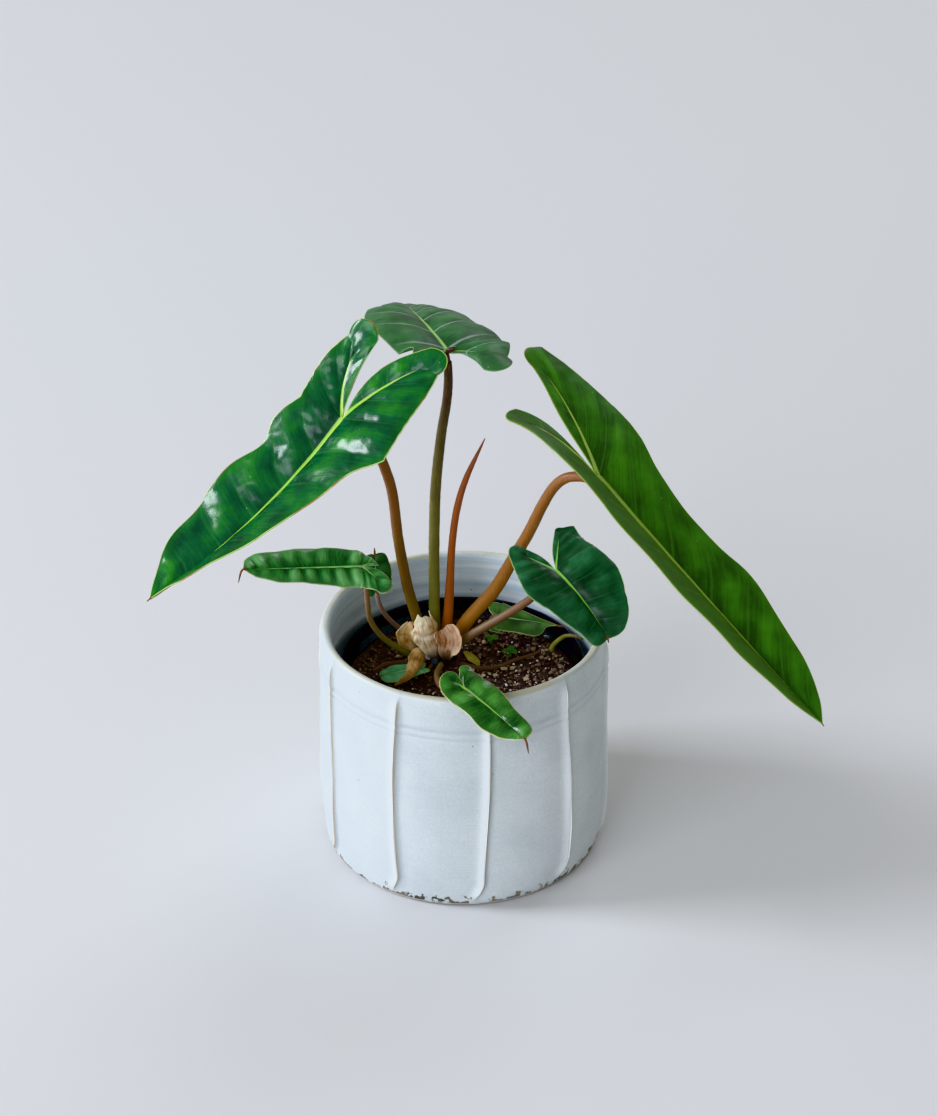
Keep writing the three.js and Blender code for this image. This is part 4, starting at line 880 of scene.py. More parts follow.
def half_blade(blade, side, rows, lobe_rows, columns, seed):
    """Lines from the rib to the margin. Each has a start on the rib, an outward direction, an up, a
    reach and a fold. A point at share t of a line lies reach * t out, lifted by the fold less the
    curl, plus the margin's wave, which grows with t squared, plus the pucker, which is a sine arch
    across the half times an arch between each pair of side veins, each of its own strength. phase
    counts the stretches: 0 to 1 from the tip to the junction, 1 to 2 out along the lobe's vein,
    2 to 3 round its end and 3 to 4 back."""
    sign = 1 - 2 * side
    lobe = {key: pair[side] for key, pair in blade["lobe"].items()}
    fold, widest = blade["fold"][side], blade["widths"][side][0]
    u = np.linspace(1, 0, rows)
    point, along, right, up = midrib(blade, u)
    lean = np.radians(VEIN_AT_JUNCTION + (VEIN_AT_TIP - VEIN_AT_JUNCTION) * u)[:, None]
    lines = [{
        "point": point, "up": up,
        "out": right * sign * np.cos(lean) + along * np.sin(lean),
        "forward": along * np.cos(lean) - right * sign * np.sin(lean),
        "reach": np.maximum(through([*blade["widths"][side], 0], u), 0) * (u < 1),
        "fold": np.full(rows, float(fold)), "phase": 1 - u, "keel": (1 - u) * MIDRIB_KEEL,
    }]
    base, root_along, root_right, root_up = (a[0] for a in midrib(blade, 0))

    def lobe_frame(b):
        spread = np.radians(lobe["splay"] + lobe["turn"] * b)[:, None]
        rise = np.radians(lobe["lift"] * b * (2 - b) - lobe["sag"] * b * b)[:, None]
        flat = -root_along * np.cos(spread) + root_right * sign * np.sin(spread)
        aside = root_right * sign * np.cos(spread) + root_along * np.sin(spread)
        outward = flat * np.cos(rise) + root_up * np.sin(rise)
        return outward, aside, root_up * np.cos(rise) - flat * np.sin(rise)

    costa = base + walk(lambda b: lobe_frame(b)[0], lobe["length"])

    def lobe_lines(b, angle, reach, line_fold, phase):
        outward, aside, above = lobe_frame(b)
        c, s = np.cos(angle)[:, None], np.sin(angle)[:, None]
        lines.append({
            "point": read_path(costa, b), "up": above, "out": outward * c + aside * s,
            "forward": outward * s - aside * c, "reach": reach, "fold": line_fold, "phase": phase,
            "keel": LOBE_KEEL * (1 - b),
        })

    b = np.linspace(0, 1, lobe_rows)
    first, corner = math.radians(90 - lobe["splay"] + VEIN_AT_JUNCTION), math.radians(LOBE_CORNER)
    outer = through([widest, lobe["outer"], lobe["end"]], b)
    lobe_lines(b, (1 - b) * first + b * corner, outer, fold + (lobe["fold"] - fold) * smooth(b), 1 + b)
    f = np.linspace(0, 1, lobe_rows // 2 + 3)[1:-1]
    plain = lobe["end"] * (1 - smooth(f)) + lobe["inner"] * smooth(f)
    round_end = plain * (1 - np.sin(np.pi * f)) + lobe["cap"] * np.sin(np.pi * f)
    ends_fold = lobe["fold"] * (1 - f) + lobe["inner_fold"] * f
    lobe_lines(np.ones_like(f), corner * (1 - 2 * f), round_end, ends_fold, 2 + f)
    b = b[::-1]
    inner = through([0, lobe["inner_middle"], lobe["inner"]], b)
    turn = -(b * corner + (1 - b) * math.radians(LOBE_ROOT))
    lobe_lines(b, turn, inner, np.full(lobe_rows, float(lobe["inner_fold"])), 4 - b)

    whole = {key: np.concatenate([line[key] for line in lines]) for key in lines[0]}
    column = lambda key: whole[key][:, None]
    t = (1 - np.cos(np.pi * np.linspace(0, 1, columns))) / 2
    reach, phase = column("reach"), column("phase")
    share = np.clip(reach / widest, 0, 1)
    angle = np.radians(column("fold") - blade["curl"][side] * t)
    height, count = blade["wave"]
    wave_run = np.where(phase > 1, 1 + LOBE_WAVES * (phase - 1), phase)
    wave = height * np.sin(2 * np.pi * count * wave_run + side) * t * t * share
    run = np.where(phase > 2, np.clip(5 - phase, 0, 2), phase)
    lobe_pace = np.clip(1.6 * lobe["length"] / blade["length"], LEAST_LOBE_PACE, 1)
    run = np.where(run > 1, 1 + (run - 1) * lobe_pace, run)
    vein = blade["quilts"] * run - blade["vein_sweep"] * t * np.clip(3 - phase, 0, 1)
    strengths = np.random.default_rng(seed + side).uniform(0.35, 1.5, 40)[np.floor(vein).astype(int) % 40]
    arch = strengths * (0.4 * np.abs(np.sin(np.pi * vein)) + 0.6 * np.sin(np.pi * vein) ** 2)
    pucker = blade["quilt_height"] * share * np.sin(np.pi * t**0.8) * arch
    spot = np.stack(np.broadcast_arrays(phase * 60, side * 40.0, seed), -1)
    nicks = NICK_DEPTH * (lumps(spot, NICK_SIZE, seed) - 0.7)
    out, above, forward = column("out"), column("up"), column("forward")
    place = column("point") + out * (reach * t * np.cos(angle))[..., None]
    place = place + above * (reach * t * np.sin(angle) + wave + pucker)[..., None]
    place = place + forward * (VEIN_BEND * t * (1 - t) * reach)[..., None]
    place = place + out * (nicks * t**6 * share)[..., None]
    layers = {
        "rib": reach * t, "rim": reach * (1 - t), "vein": vein, "across": t,
        "tip": np.where(phase < 1, phase, 1) * blade["length"], "keel": column("keel"), "side": float(side),
        "crown": arch * np.sin(np.pi * t),
    }
    return grid_part(place, flip=side == 1, **layers)


# %% A whole blade
NECK_LENGTH = 6.5
CALM_RIB, CALM_RIM = 5, 3
THIN_MARGIN = 1.2


def petiole_path(name):
    """The whole run of a petiole, which ends just under its blade's junction."""
    blade = BLADES[name]
    point, along, _, up = (a[0] for a in midrib(blade, 0))
    return [*PETIOLES[name][0], tuple(point - up * 0.9 * blade["rib"] + along * 0.5)]


def blade_part(name, rows, lobe_rows, columns, seed, crinkle):
    """Both halves welded at the midrib, thickened along their normals and thinned towards the
    margin, with the round midrib standing out below and a low rounded rib on top. Ripples of the
    height crinkle die out near the rib and the margin. No point rises above the solid's box."""
    blade = BLADES[name]
    halves = [half_blade(blade, side, rows, lobe_rows, columns, seed) for side in (0, 1)]
    sheet = welded(joined(halves))
    layers, points = sheet["layers"], sheet["points"]
    normals = point_normals(points, sheet["triangles"])
    calm = smooth(layers["rib"] / CALM_RIB) * smooth(layers["rim"] / CALM_RIM)
    ripples = crinkle * (lumps(points, 8, seed) + 0.5 * lumps(points, 3.6, seed + 1)) * calm
    sheet["points"] = points + normals * ripples[:, None]
    edge = np.clip(layers["rim"] / THIN_MARGIN, 0, 1)
    half = blade["thickness"] / 2 * (0.45 + 0.55 * np.sqrt(edge * (2 - edge)))
    keel = layers["keel"]
    width = 0.75 * blade["rib"] * (0.35 + 0.65 * keel)
    bell = np.exp(-((layers["rib"] / width) ** 2))
    shell = sheet_shell(sheet, half + 0.3 * bell * keel, half + blade["rib"] * keel * bell)
    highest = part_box(f"blade_{name}")[1][2] / MM
    shell["points"][:, 2] = np.minimum(shell["points"][:, 2], highest)
    return shell


def blade_ends(name):
    """The blade's own stub that meets the petiole, and its dry drip tip."""
    blade = BLADES[name]
    r = blade["rib"]
    path = petiole_path(name)
    start = 1 - (NECK_LENGTH + 0.6) / path_length(path)
    neck = sweep(path, [0.97 * r, 1.08 * r, 1.12 * r, 1.02 * r], 18, 0.5, start=start)
    neck["layers"]["share"] = np.ones(len(neck["points"]))
    tip_length, tip_drop = blade["tip"]
    places, along, _, _ = midrib(blade, [0.94, 1])
    drip = along[1] + (0, 0, -tip_drop)
    end = places[1] + drip / np.linalg.norm(drip) * tip_length
    return neck, sweep([places[0], places[1], end], [0.5, 0.62, 0.25], 10, 0.4)


# %% [markdown]
# ## Leaf colours
# The blade's upper skin is waxy, so it mirrors the sky in soft patches. Its midrib and lobe veins
# are lime to pale green, its margin has a thin pale edge that reddens in places, and fine side veins
# run out from the rib. All of it hangs on the distances kept at each point. The flesh is thin, so
# some light comes through.

# %% Leaf materials
def leaf_material(
    name, colours, rib_half, vein_strength, gloss, shine,
    through=0.12, near=None, pucker_shade=0.14, streaks=0.2, blush=0.15,
):
    """Waxy leaf skin. Greens by noise, with painted shade in the dips between puckers and painted light
    on their crowns, lime ribs by distance from the rib, thin veins where the vein number is whole, a
    pale edge by distance from the margin, dust in fine spots, and its own tone below. The colours are
    deep, middle and bright green, rib, veins, margin and underside. near is a painted shade tone for a
    right half that turns away from the light, pucker_shade is the share of that painted pucker shade
    and light, streaks is the share of the fine lines along the veins, and blush reddens the edge in
    places."""
    deep, middle, bright, rib, veins, margin, underside = colours.split()
    material, add = new_material(
        name, IOR=1.45, Subsurface_Weight=through, Subsurface_Radius=(0.5, 1.0, 0.1),
        Subsurface_Scale=0.0016, Coat_Weight=shine, Coat_Roughness=0.14,
    )
    place = add("TexCoord", out="Object")
    keys = ("rib", "rim", "vein", "across", "tip", "keel", "side", "crown", "under")
    from_rib, from_rim, vein, across, from_tip, keel, side, crown, under = (
        add("Attribute", attribute_name=key, out="Fac") for key in keys
    )
    patch = add("TexNoise", place, 60, 5)
    wobble = add("TexNoise", place, 160)
    fine = add("TexNoise", place, 380, 3)
    on_leaf = add("CombineXYZ", add("Math MULTIPLY", vein, 15), add("Math MULTIPLY", across, 2), side)
    grain = add("TexNoise", on_leaf, 1, 4)

    tone = add("Math MULTIPLY_ADD", grain, streaks, add("Math MULTIPLY", patch, 0.82 - streaks))
    # Painted shade and light: the dips between puckers are darker, their crowns lighter.
    tone = add("Math MULTIPLY_ADD", crown, pucker_shade, tone)
    green = add("ValToRGB", tone, stops=[(0.36, deep), (0.48, middle), (0.66, bright)])
    # Painted shade: the right half, which turns away from the light, is painted in the near tone.
    if near:
        green = add("Mix RGBA", add("Math MULTIPLY_ADD", side, -0.8, 0.8), green, near)
    towards_rim = add("MapRange", from_rim, 0.5, 8, 0.75, 0)
    from_vein = add("Math MULTIPLY_ADD", wobble, 0.05, add("Math PINGPONG", vein, 0.5))
    near_vein = add("MapRange", from_vein, 0.03, 0.08, 1, 0)
    fade = add("MapRange", across, 0.45, 1, vein_strength, 0)
    rib_width = add("MapRange", keel, 0, 0.9, 0.25 * rib_half, rib_half)
    on_rib = add("MapRange", add("Math DIVIDE", from_rib, rib_width), 0.75, 1.2, 1, 0)
    on_rib = add("Math MULTIPLY", on_rib, add("MapRange", keel, 0.02, 0.12))
    edge = add("Mix RGBA", add("MapRange", patch, 0.5, 0.62, 0, blush), margin, "#a8683c")
    spots = add("MapRange", add("TexVoronoi", place, 260), 0.05, 0.11, 1, 0)
    dust = add("Math MULTIPLY", spots, add("MapRange", add("TexNoise", place, 120), 0.6, 0.68))
    marks = [
        (add("Math MULTIPLY", towards_rim, patch), bright),
        (add("Math MULTIPLY", near_vein, fade), veins),
        (on_rib, rib),
        (add("MapRange", from_rim, 0.25, 0.7, 1, 0), edge),
        (add("Math MULTIPLY", dust, 0.6), "#c9dccb"),
    ]
    for share, mark in marks:
        green = add("Mix RGBA", share, green, mark)
    below = add("Mix RGBA", on_rib, add("Mix RGBA", 0.4, green, underside), rib)
    colour = add("Mix RGBA", under, green, below)
    colour = add("Mix RGBA", add("MapRange", from_tip, 0.8, 3.5, 1, 0), colour, "#6b4626")

    uneven = add("MapRange", grain, 0.3, 0.7, 0.92 * gloss, 1.12 * gloss)
    rough = add("MapRange", under, 0, 1, uneven, 0.5)
    relief = add("Math MULTIPLY_ADD", grain, 0.35, add("Math MULTIPLY", fine, 0.6))
    bump = add("Bump", 0.25, 0.0005, None, relief)
    return wire(material, Base_Color=colour, Roughness=rough, Normal=bump)


def stalk_material(name, low, high, speck, roughness=0.45):
    """Firm shiny skin of a petiole: colour changes from foot to blade, with fine lengthwise lines."""
    material, add = new_material(
        name, Roughness=roughness, IOR=1.45, Subsurface_Weight=0.1, Subsurface_Scale=0.001
    )
    place = add("TexCoord", out="Object")
    share = add("Attribute", attribute_name="share", out="Fac")
    cloud = add("Math MULTIPLY_ADD", add("TexNoise", place, 90, 4), 0.5, -0.25)
    colour = add("ValToRGB", add("Math ADD", cloud, share), stops=[(0, low), (1, high)])
    lines = add("TexNoise", add("Mapping", place, None, None, (1500, 1500, 90)), 1, 2)
    colour = add("Mix RGBA", add("MapRange", lines, 0.55, 0.8, 0, 0.35), colour, speck)
    return wire(material, Base_Color=colour, Normal=add("Bump", 0.25, 0.0003, None, lines))


LEAVES = {
    "glossy": leaf_material(
        "leaf_waxy_green", "#0b4026 #165a30 #388430 #a6d45e #4f9a4c #b5cf74 #4f8f49",
        1.7, 0.25, 0.26, 0.15, blush=0.9,
    ),
    "right": leaf_material(
        "leaf_backlit_green", "#25520f #36711a #4d9424 #b5d873 #5c9440 #9fb458 #4d8a3c",
        2.2, 0.45, 0.5, 0.0, through=0.3, near="#456a26", pucker_shade=0.16, streaks=0.3, blush=0.4,
    ),
    "top": leaf_material(
        "leaf_matt_green", "#2b5430 #3d6b41 #548655 #9cc878 #a5bbae #6f935f #4a7b4a",
        1.4, 0.65, 0.5, 0.05,
    ),
    "medium": leaf_material(
        "leaf_dark_green", "#19361f #2a5233 #457a56 #86bf5c #4a8f62 #7fa55c #3f7b42",
        1.2, 0.25, 0.38, 0.0, streaks=0.3,
    ),
    "front": leaf_material(
        "leaf_young_green", "#173f1b #32622c #5c984c #93c264 #589a4e #c9c489 #588a52",
        0.9, 0.2, 0.26, 0.25, pucker_shade=0.2,
    ),
    "narrow": leaf_material(
        "leaf_puckered_green", "#194a22 #3f7b40 #6fab69 #98c87a #5c9c5a #a9b884 #588a52",
        0.8, 0.1, 0.3, 0.35, pucker_shade=0.25, streaks=0.35,
    ),
    "small": leaf_material(
        "leaf_mid_green", "#14321c #24502d #3f6f42 #82b46c #4f8f50 #94a276 #588a52",
        0.8, 0.1, 0.34, 0.2, pucker_shade=0.25,
    ),
    # The low leaf's pale blue-greens are partly its own colour and partly painted sheen.
    "low": leaf_material(
        "leaf_green_painted_sheen", "#4a8a60 #6cae7e #98d0a2 #b4dca0 #7cba84 #a9b884 #588a52",
        0.8, 0.1, 0.4, 0.1,
    ),
    "back": leaf_material(
        "leaf_shaded_green", "#1f3417 #365029 #547a42 #7aa45c #527c42 #a0a272 #586a3a",
        0.8, 0.1, 0.4, 0.1, pucker_shade=0.2,
    ),
}
STALKS = {
    "orange": (stalk_material("petiole_orange_skin", "#6f5c2a", "#925536", "#b88a58"), "orange_stalk"),
    "bright": (stalk_material("petiole_amber_skin", "#a06c2a", "#8f5f3c", "#cc9a5c"), "orange_stalk"),
    "olive": (stalk_material("petiole_olive_skin", "#858448", "#4c3226", "#a9a160"), "olive_stalk"),
    "pink": (stalk_material("petiole_pink_skin", "#7d6a4c", "#8a6050", "#b69384"), "pink_stalk"),
    "thin": (stalk_material("petiole_thin_skin", "#6c7236", "#926a58", "#aca068"), "olive_stalk"),
    "rosy": (stalk_material("petiole_rosy_skin", "#8f7a6c", "#a58a80", "#c0a89c"), "pink_stalk"),
}
dry_tip, add = new_material("dry_leaf_tip", Roughness=0.7)
fine = add("TexNoise", add("TexCoord", out="Object"), 400, 3)
wire(dry_tip, Base_Color=add("ValToRGB", fine, stops=[(0.3, "#4a2c1c"), (0.7, "#8a5a34")]))

# %% The nine leaves
# Each leaf has its skin, its petiole's skin, rows down the midrib and along the lobes, columns from
# the rib to the margin, the height of its ripples in mm, and its slot.
LOOKS = {
    "left": ("glossy", "orange", 220, 60, 44, 0.45, "leaf"),
    "right": ("right", "bright", 240, 64, 40, 0.3, "leaf"),
    "top": ("top", "olive", 190, 50, 40, 0.35, "leaf_matt"),
    "medium": ("medium", "pink", 150, 54, 36, 0.65, "leaf"),
    "narrow": ("narrow", "thin", 150, 30, 26, 0.25, "leaf"),
    "behind": ("small", "rosy", 60, 20, 20, 0.2, "leaf"),
    "front": ("front", "pink", 130, 36, 26, 0.35, "leaf"),
    "low": ("low", "pink", 70, 20, 20, 0.2, "leaf"),
    "back": ("back", "thin", 90, 24, 22, 0.2, "leaf"),
}
TOP_KNOB = [(-9, 12, 321), (-6.6, 10.9, 322.6), (-4.6, 10.2, 323.8)]

for number, (name, look) in enumerate(LOOKS.items()):
    leaf, stalk, rows, lobe_rows, columns, crinkle, slot = look
    skin, stalk_slot = STALKS[stalk]
    neck, tip = blade_ends(name)
    parts = [(blade_part(name, rows, lobe_rows, columns, 31 + 7 * number, crinkle), LEAVES[leaf])]
    parts += [(neck, skin), (tip, dry_tip)]
    if name == "top":
        knob = sweep(TOP_KNOB, [1.3, 1.6, 1.1], 14, 0.4, rough=0.1, seed=66)
        knob["layers"]["share"] = np.ones(len(knob["points"]))
        parts.append((knob, skin))
    make_piece(f"leaf_{name}", parts, f"blade_{name}")
    path = petiole_path(name)
    end = 1 - NECK_LENGTH / path_length(path)
    stem = sweep(path, PETIOLES[name][1], 24, 1.1, end=end, rough=0.03, seed=50 + number)
    make_piece(f"stalk_{name}", [(stem, skin)], f"petiole_{name}")

# %% [markdown]
# ## The furled leaf, the crown and the dry sheaths
# The newest leaf is still a tight orange-brown spike. Nearly all petioles spring from a short corky
# crown, wrapped in papery sheaths that once covered young leaves: cream, pinkish tan, golden and
# brown, curled at their edges. Each sheath is a thin strip along a bent middle line.

# %% The spike and the crown
SPIKE = [
    (-10, 27, 124), (-8.6, 25.4, 140), (-7.5, 25, 163), (-6, 24.6, 190), (-3, 23.5, 213),
    (1.8, 22.3, 232), (13, 20, 260.7),
]
SPIKE_RADII = [3.1, 2.8, 2.35, 2.2, 2.1, 1.6, 0.35]
spike_skin = stalk_material("furled_leaf_skin", "#aa5e2c", "#98583a", "#c88a5c", 0.4)
spike = sweep(SPIKE, SPIKE_RADII, 22, 1.1, rough=0.02, seed=71)
make_piece("spike_fine", [(spike, spike_skin)], "new_leaf_spike")


def crown_foot(path, radius):
    """The crown's own foot under a petiole: from inside the stem to just under the petiole."""
    base, ahead = np.array(path[0], float), np.array(path[1], float)
    away = (ahead - base) / np.linalg.norm(ahead - base)
    inner = (CROWN_X + 0.35 * (base[0] - CROWN_X), CROWN_Y + 0.35 * (base[1] - CROWN_Y), CROWN_TOP - 8)
    run = [inner, base - away * (GAP + 3), base + away * 0.2]
    return sweep(run, [radius, radius * 1.02, radius], 18, 0.8, rough=0.08, seed=73)


def crown_part():
    """A short knobbly stem: a lathe shape whose radius is pushed in and out by noise."""
    r, low, high = CROWN_RADIUS, CROWN_BOTTOM, CROWN_TOP
    knots = [
        (0, low), (0.6 * r, low), (0.93 * r, low + 6), (0.9 * r, 106), (1.0 * r, 108),
        (0.92 * r, 110.5), (1.02 * r, 113), (0.83 * r, high - 1), (0.3 * r, high), (0, high),
    ]
    stem = lathe_part(np.maximum(smooth_path(knots, 6), 0), 72)
    place = stem["points"]
    push = 1 + 0.05 * lumps(place, 4, 75) + 0.03 * lumps(place, 1.6, 76)
    stem["points"] = place * np.stack([push, push, np.ones_like(push)], -1) + (CROWN_X, CROWN_Y, 0)
    return stem


# The back petiole leaves the soil on its own, so it has no foot at the crown.
cork = crumb_material("corky_stem", "#2c2320", "#8a7465", 0.8)
feet = [(path, radii) for name, (path, radii) in PETIOLES.items() if name != "back"]
feet = [(crown_foot(path, radii[0]), cork) for path, radii in [*feet, (SPIKE, SPIKE_RADII)]]
make_piece("crown_fine", [(crown_part(), cork), *feet], "crown")

# %% Strips
# Each strip is its middle line, its half widths along it, the way it faces, the angle of its arc
# in radians to each side, and how much of its end is torn.
STRIPS = {
    "sheath_centre": (
        [(-16.2, 11.9, 113.8), (-18.2, 10.9, 120.5), (-21.2, 10.7, 127.6), (-21.8, 11.3, 136),
         (-24.1, 14.5, 145.6)], [2.4, 5.6, 8, 8.2, 5], (0.3, -0.9, 0.3), -0.9, 0.14,
    ),
    "sheath_right": (
        [(-9.6, 12, 113.6), (-9.5, 10, 120), (-8, 9.4, 126), (-8.8, 9.8, 132.5), (-11.5, 12, 138)],
        [2, 6, 9.6, 10.6, 8], (-0.2, -0.9, 0.5), 1.35, 0.12,
    ),
    "sheath_left": (
        [(-25, 20.5, 117), (-30, 17.8, 120.5), (-33.4, 16.2, 126), (-33, 15.6, 132.2), (-31, 17, 138)],
        [1.8, 6, 7.6, 5.4, 1.2], (-0.4, -0.9, 0.2), 1.0, 0.08,
    ),
    "sheath_hanging": (
        [(-20.5, 15.2, 114.2), (-26, 9.2, 118.6), (-28.5, 2, 117.4), (-31.2, -7.6, 116),
         (-36.4, -13.9, 115), (-41, -15.8, 112.6)], [3, 6.5, 5.6, 4, 2.2, 0.6], (0.2, -0.7, 0.7), -1.3, 0.05,
    ),
    "fallen_leaf": (
        [(1, 28.5, 0), (4, 22.5, 0), (7.2, 17, 0), (9.8, 12, 0)], [0.8, 3, 3.2, 0.8], (0, 0, 1), 0.4, 0,
    ),
}
STRIP_CLEARANCE, STRIP_THICKNESS = 1.3, 0.5


def strip_part(path, widths, faces, curl, seed, torn=0.0, on_soil=False, crinkle=0.8, rows=60, columns=30):
    """A dry sheet along a bent middle line. A point at w from -1 to 1 across lies on an arc: to the
    side by half width * sin(w * curl) / curl, and up by half width * (1 - cos(w * curl)) / curl, less
    half of the most. Noise makes the half width ragged at the edges, and each line along the sheet
    stops short by its own random share of torn. Folds of the height crinkle crumple the sheet."""
    w = np.linspace(-1, 1, columns)
    tears = 0.5 + 0.5 * lumps(np.stack([6 * w, w, w], -1), 2.4, seed + 5)
    u = np.linspace(0, 1, rows)[:, None] * (1 - torn * tears)
    centre, along, _ = at_shares(smooth_path(path), u)
    side = unit(np.cross(along, np.array(faces, float)))
    up = np.cross(side, along)
    width = through(widths, u) * (1 + 0.2 * w**4 * lumps(centre + 9 * np.sign(w)[:, None], 3.2, seed + 2))
    across = width * np.sin(w * curl) / curl
    rise = width * (0.5 + 0.5 * np.cos(curl) - np.cos(w * curl)) / curl
    points = centre + side * across[..., None] + up * rise[..., None]
    if on_soil:
        points[..., 2] += soil_height(points[..., 0], points[..., 1]) + STRIP_CLEARANCE
    folds = crinkle * (2 * np.abs(lumps(points, 5.5, seed)) + 0.2 * lumps(points, 1.6, seed + 1) - 0.5)
    points = points + up * folds[..., None]
    sheet = welded(grid_part(points, across=w[None], share=u))
    half = np.full(len(sheet["points"]), STRIP_THICKNESS / 2)
    return sheet_shell(sheet, half, half)


def sheath_material(name, pale, tan, brown, painted_foot_shade=0.06):
    """Dry papery skin: fibres run along it, in light and dark lines, with browner patches, and its
    edge is pale where the skin is thinnest. Up to the share painted_foot_shade, its foot is painted
    dark, as painted shade."""
    material, add = new_material(
        name, Roughness=0.55, IOR=1.4, Subsurface_Weight=0.25, Subsurface_Scale=0.001
    )
    across, share = (add("Attribute", attribute_name=key, out="Fac") for key in ("across", "share"))
    cloud = add("TexNoise", add("TexCoord", out="Object"), 150, 4)
    lengthwise = add("Mapping", add("CombineXYZ", across, share), None, None, (9, 1.5, 1))
    fibre = add("TexNoise", lengthwise, 1, 5)
    mixed = add("Mix", 0.5, cloud, fibre)
    colour = add("ValToRGB", mixed, stops=[(0.34, brown), (0.44, tan), (0.54, pale)])
    edge = add("MapRange", add("Math ABSOLUTE", across), 0.8, 1, 0, 0.6)
    # Painted shade: the foot of the strip is painted dark.
    foot = add("MapRange", share, 0.05, painted_foot_shade, 0.9, 0)
    colour = add("Mix RGBA", foot, add("Mix RGBA", edge, colour, pale), "#33251c")
    return wire(material, Base_Color=colour, Normal=add("Bump", 0.7, 0.001, None, fibre))


SHEATHS = {
    "sheath_centre": sheath_material("dry_sheath_cream", "#f2e0c2", "#dabd92", "#a0733f", 0.3),
    "sheath_right": sheath_material("dry_sheath_pink", "#e6c8ac", "#c89a76", "#885a3a", 0.3),
    "sheath_left": sheath_material("dry_sheath_golden", "#e8cc9c", "#c99a5c", "#8a5e34", 0.2),
    "sheath_hanging": sheath_material("dry_sheath_brown", "#cca674", "#a27a4a", "#6c4c2e"),
    "fallen_leaf": sheath_material("yellow_fallen_leaf", "#b2a045", "#948b34", "#6a6028"),
}
for number, (name, (*shape, torn)) in enumerate(STRIPS.items()):
    fallen = name == "fallen_leaf"
    part = strip_part(*shape, 81 + 3 * number, torn, fallen, 0.25 if fallen else 0.8)
    make_piece(f"{name}_fine", [(part, SHEATHS[name])], name)

# %% [markdown]
# Where an old petiole was cut, a short stub is left with a dark grey-blue face, and two shiny
# scales of a bud sit beside it. The scales are dark, and the pale in their mottle is painted
# highlight.

# %% The cut stub and the bud scales
CUT_STUB = [(-14.5, 15, 109), (-16, 11, 112.5), (-17, 8.4, 114.5)]
BUD_SCALES = [
    ([(-28.5, 12.5, 118.6), (-26.5, 11.5, 119.6), (-23.6, 11.2, 118.4)], [0.7, 1.9, 0.6]),
    ([(-25.5, 12, 116.4), (-22.5, 10.6, 116.8), (-20, 10.2, 114.6)], [0.6, 1.5, 0.6]),
]
cut_face = crumb_material("cut_stem_face", "#2c3136", "#6d757c", 0.5)
# Painted highlight: the pale stops of the bud scales' ramp stand in for glints on dark scales.
scale_skin_and_glints = sheath_material("bud_scale_skin_and_glints", "#e8dfe4", "#8f8090", "#3a3440")
parts = [(sweep(CUT_STUB, [2.2, 2.4, 2.2], 22, 0.6, rough=0.12, seed=97), cut_face)]
for number, (path, widths) in enumerate(BUD_SCALES):
    parts.append((strip_part(path, widths, (0, -0.6, 0.8), -0.8, 98 + number, crinkle=0.15), scale_skin_and_glints))
make_piece("cut_stub_and_scales", parts)

# %% [markdown]
# ## Small stems, roots and weeds
# A yellow-green stem with a dry tip leans against the pot's rim, an old root and an old petiole
# lie on the soil, and two tiny weeds have sprouted in it.

# %% Small stems and weeds
yellow_skin = stalk_material("yellow_stem_skin", "#c4c46a", "#4a3a22", "#d5d48c")
root_skin = stalk_material("old_root_skin", "#5c4434", "#705340", "#8f725a", 0.7)
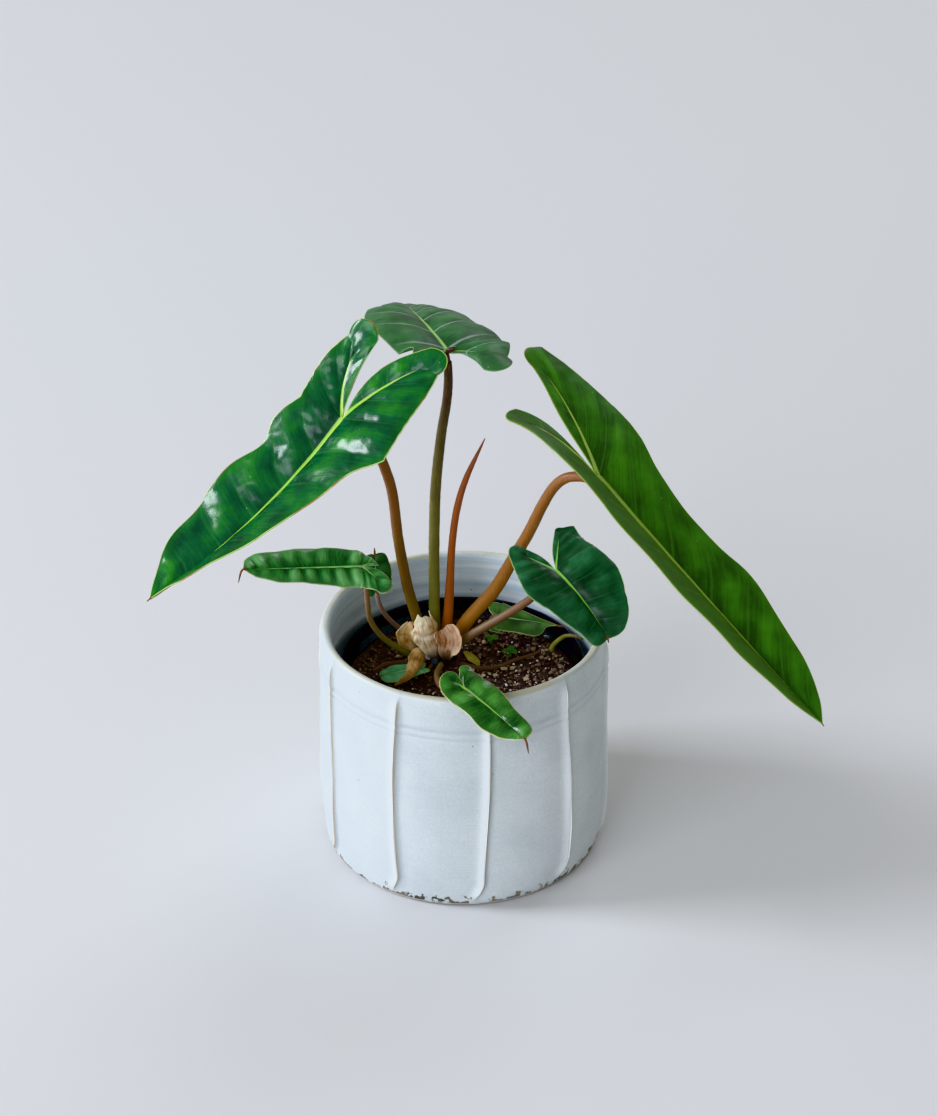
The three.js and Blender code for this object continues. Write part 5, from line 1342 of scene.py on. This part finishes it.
# Each stem is its path, its radii, the spacing and the roughness of its rings, its skin and slot.
STEMS = {
    "yellow_stem": (
        [(53, 33.5, 100), (54.6, 32, 110), (59.2, 29.2, 117), (62.7, 26.6, 121), (68, 22, 123.6),
         (72, 17.8, 124.2)], [1.3, 1.35, 1.3, 1.1, 0.9], 0.7, 0.05, yellow_skin, "yellow_stalk",
    ),
    "surface_root": (
        [(-1, 12, 110.2), (8, 9.2, 109.4), (17.1, 9.2, 109), (24.4, 12.5, 108.8), (31.7, 18.5, 108.6),
         (40.9, 23.7, 108.6), (46.5, 28.2, 108.4), (49.5, 37.2, 107.4)],
        [1.5, 1.4, 1.3, 1.1, 0.8], 0.8, 0.12, root_skin, "cork",
    ),
    "old_petiole": (
        [(-26.8, 13.2, 110.2), (-34.4, 14, 109.6), (-45.9, 13, 109), (-54, 7, 108.4)],
        [1.9, 1.8, 1.6, 1.3], 0.8, 0.1, root_skin, "cork",
    ),
}
for number, (name, (path, radii, spacing, rough, skin, slot)) in enumerate(STEMS.items()):
    part = sweep(path, radii, 16, spacing, rough=rough, seed=91 + number)
    make_piece(f"{name}_fine", [(part, skin)], name)

# Each seedling is its place, the turn of its first leaf, the leaves' length and their number.
SEEDLINGS = [(17.5, 40, 20, 4.6, 3), (28.8, 25, 80, 5.4, 3)]
SEEDLING_STEM, SEEDLING_HEIGHT, SEEDLING_DEPTH = 0.8, 3.4, 2.5
weed_green = sheath_material("weed_green", "#527c36", "#3c6629", "#28481c")
for number, (x, y, turn, size, leaves) in enumerate(SEEDLINGS):
    ground = float(soil_height(x, y))
    top = ground + SEEDLING_HEIGHT
    stem = sweep([(x, y, ground - SEEDLING_DEPTH), (x, y, top)], [SEEDLING_STEM] * 2, 10, 0.5)
    parts = [(stem, weed_green)]
    for k in range(leaves):
        angle = math.radians(turn + 360 * k / leaves)
        step = lambda r, lift: (x + r * math.cos(angle), y + r * math.sin(angle), top + lift)
        path = [step(-0.3, -0.3), step(0.5 * size, 0.8), step(size, 0.6)]
        widths = [0.5, 0.42 * size, 0.5]
        leaf = strip_part(path, widths, (0, 0, 1), 0.5, 95 + k, crinkle=0.1, rows=16, columns=10)
        parts.append((leaf, weed_green))
    make_piece(f"weed_{number + 1}", parts, f"seedling_{number + 1}")

# %% [markdown]
# ## The end
# The boxes of the solids and of the finished pieces are printed, in millimetres.

# %% Sizes and finish
visual_box = [list(corner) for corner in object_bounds()]
for label, box in (("solids", cad_box), ("pieces", visual_box)):
    print(label, [[round(1000 * value, 1) for value in corner] for corner in box])
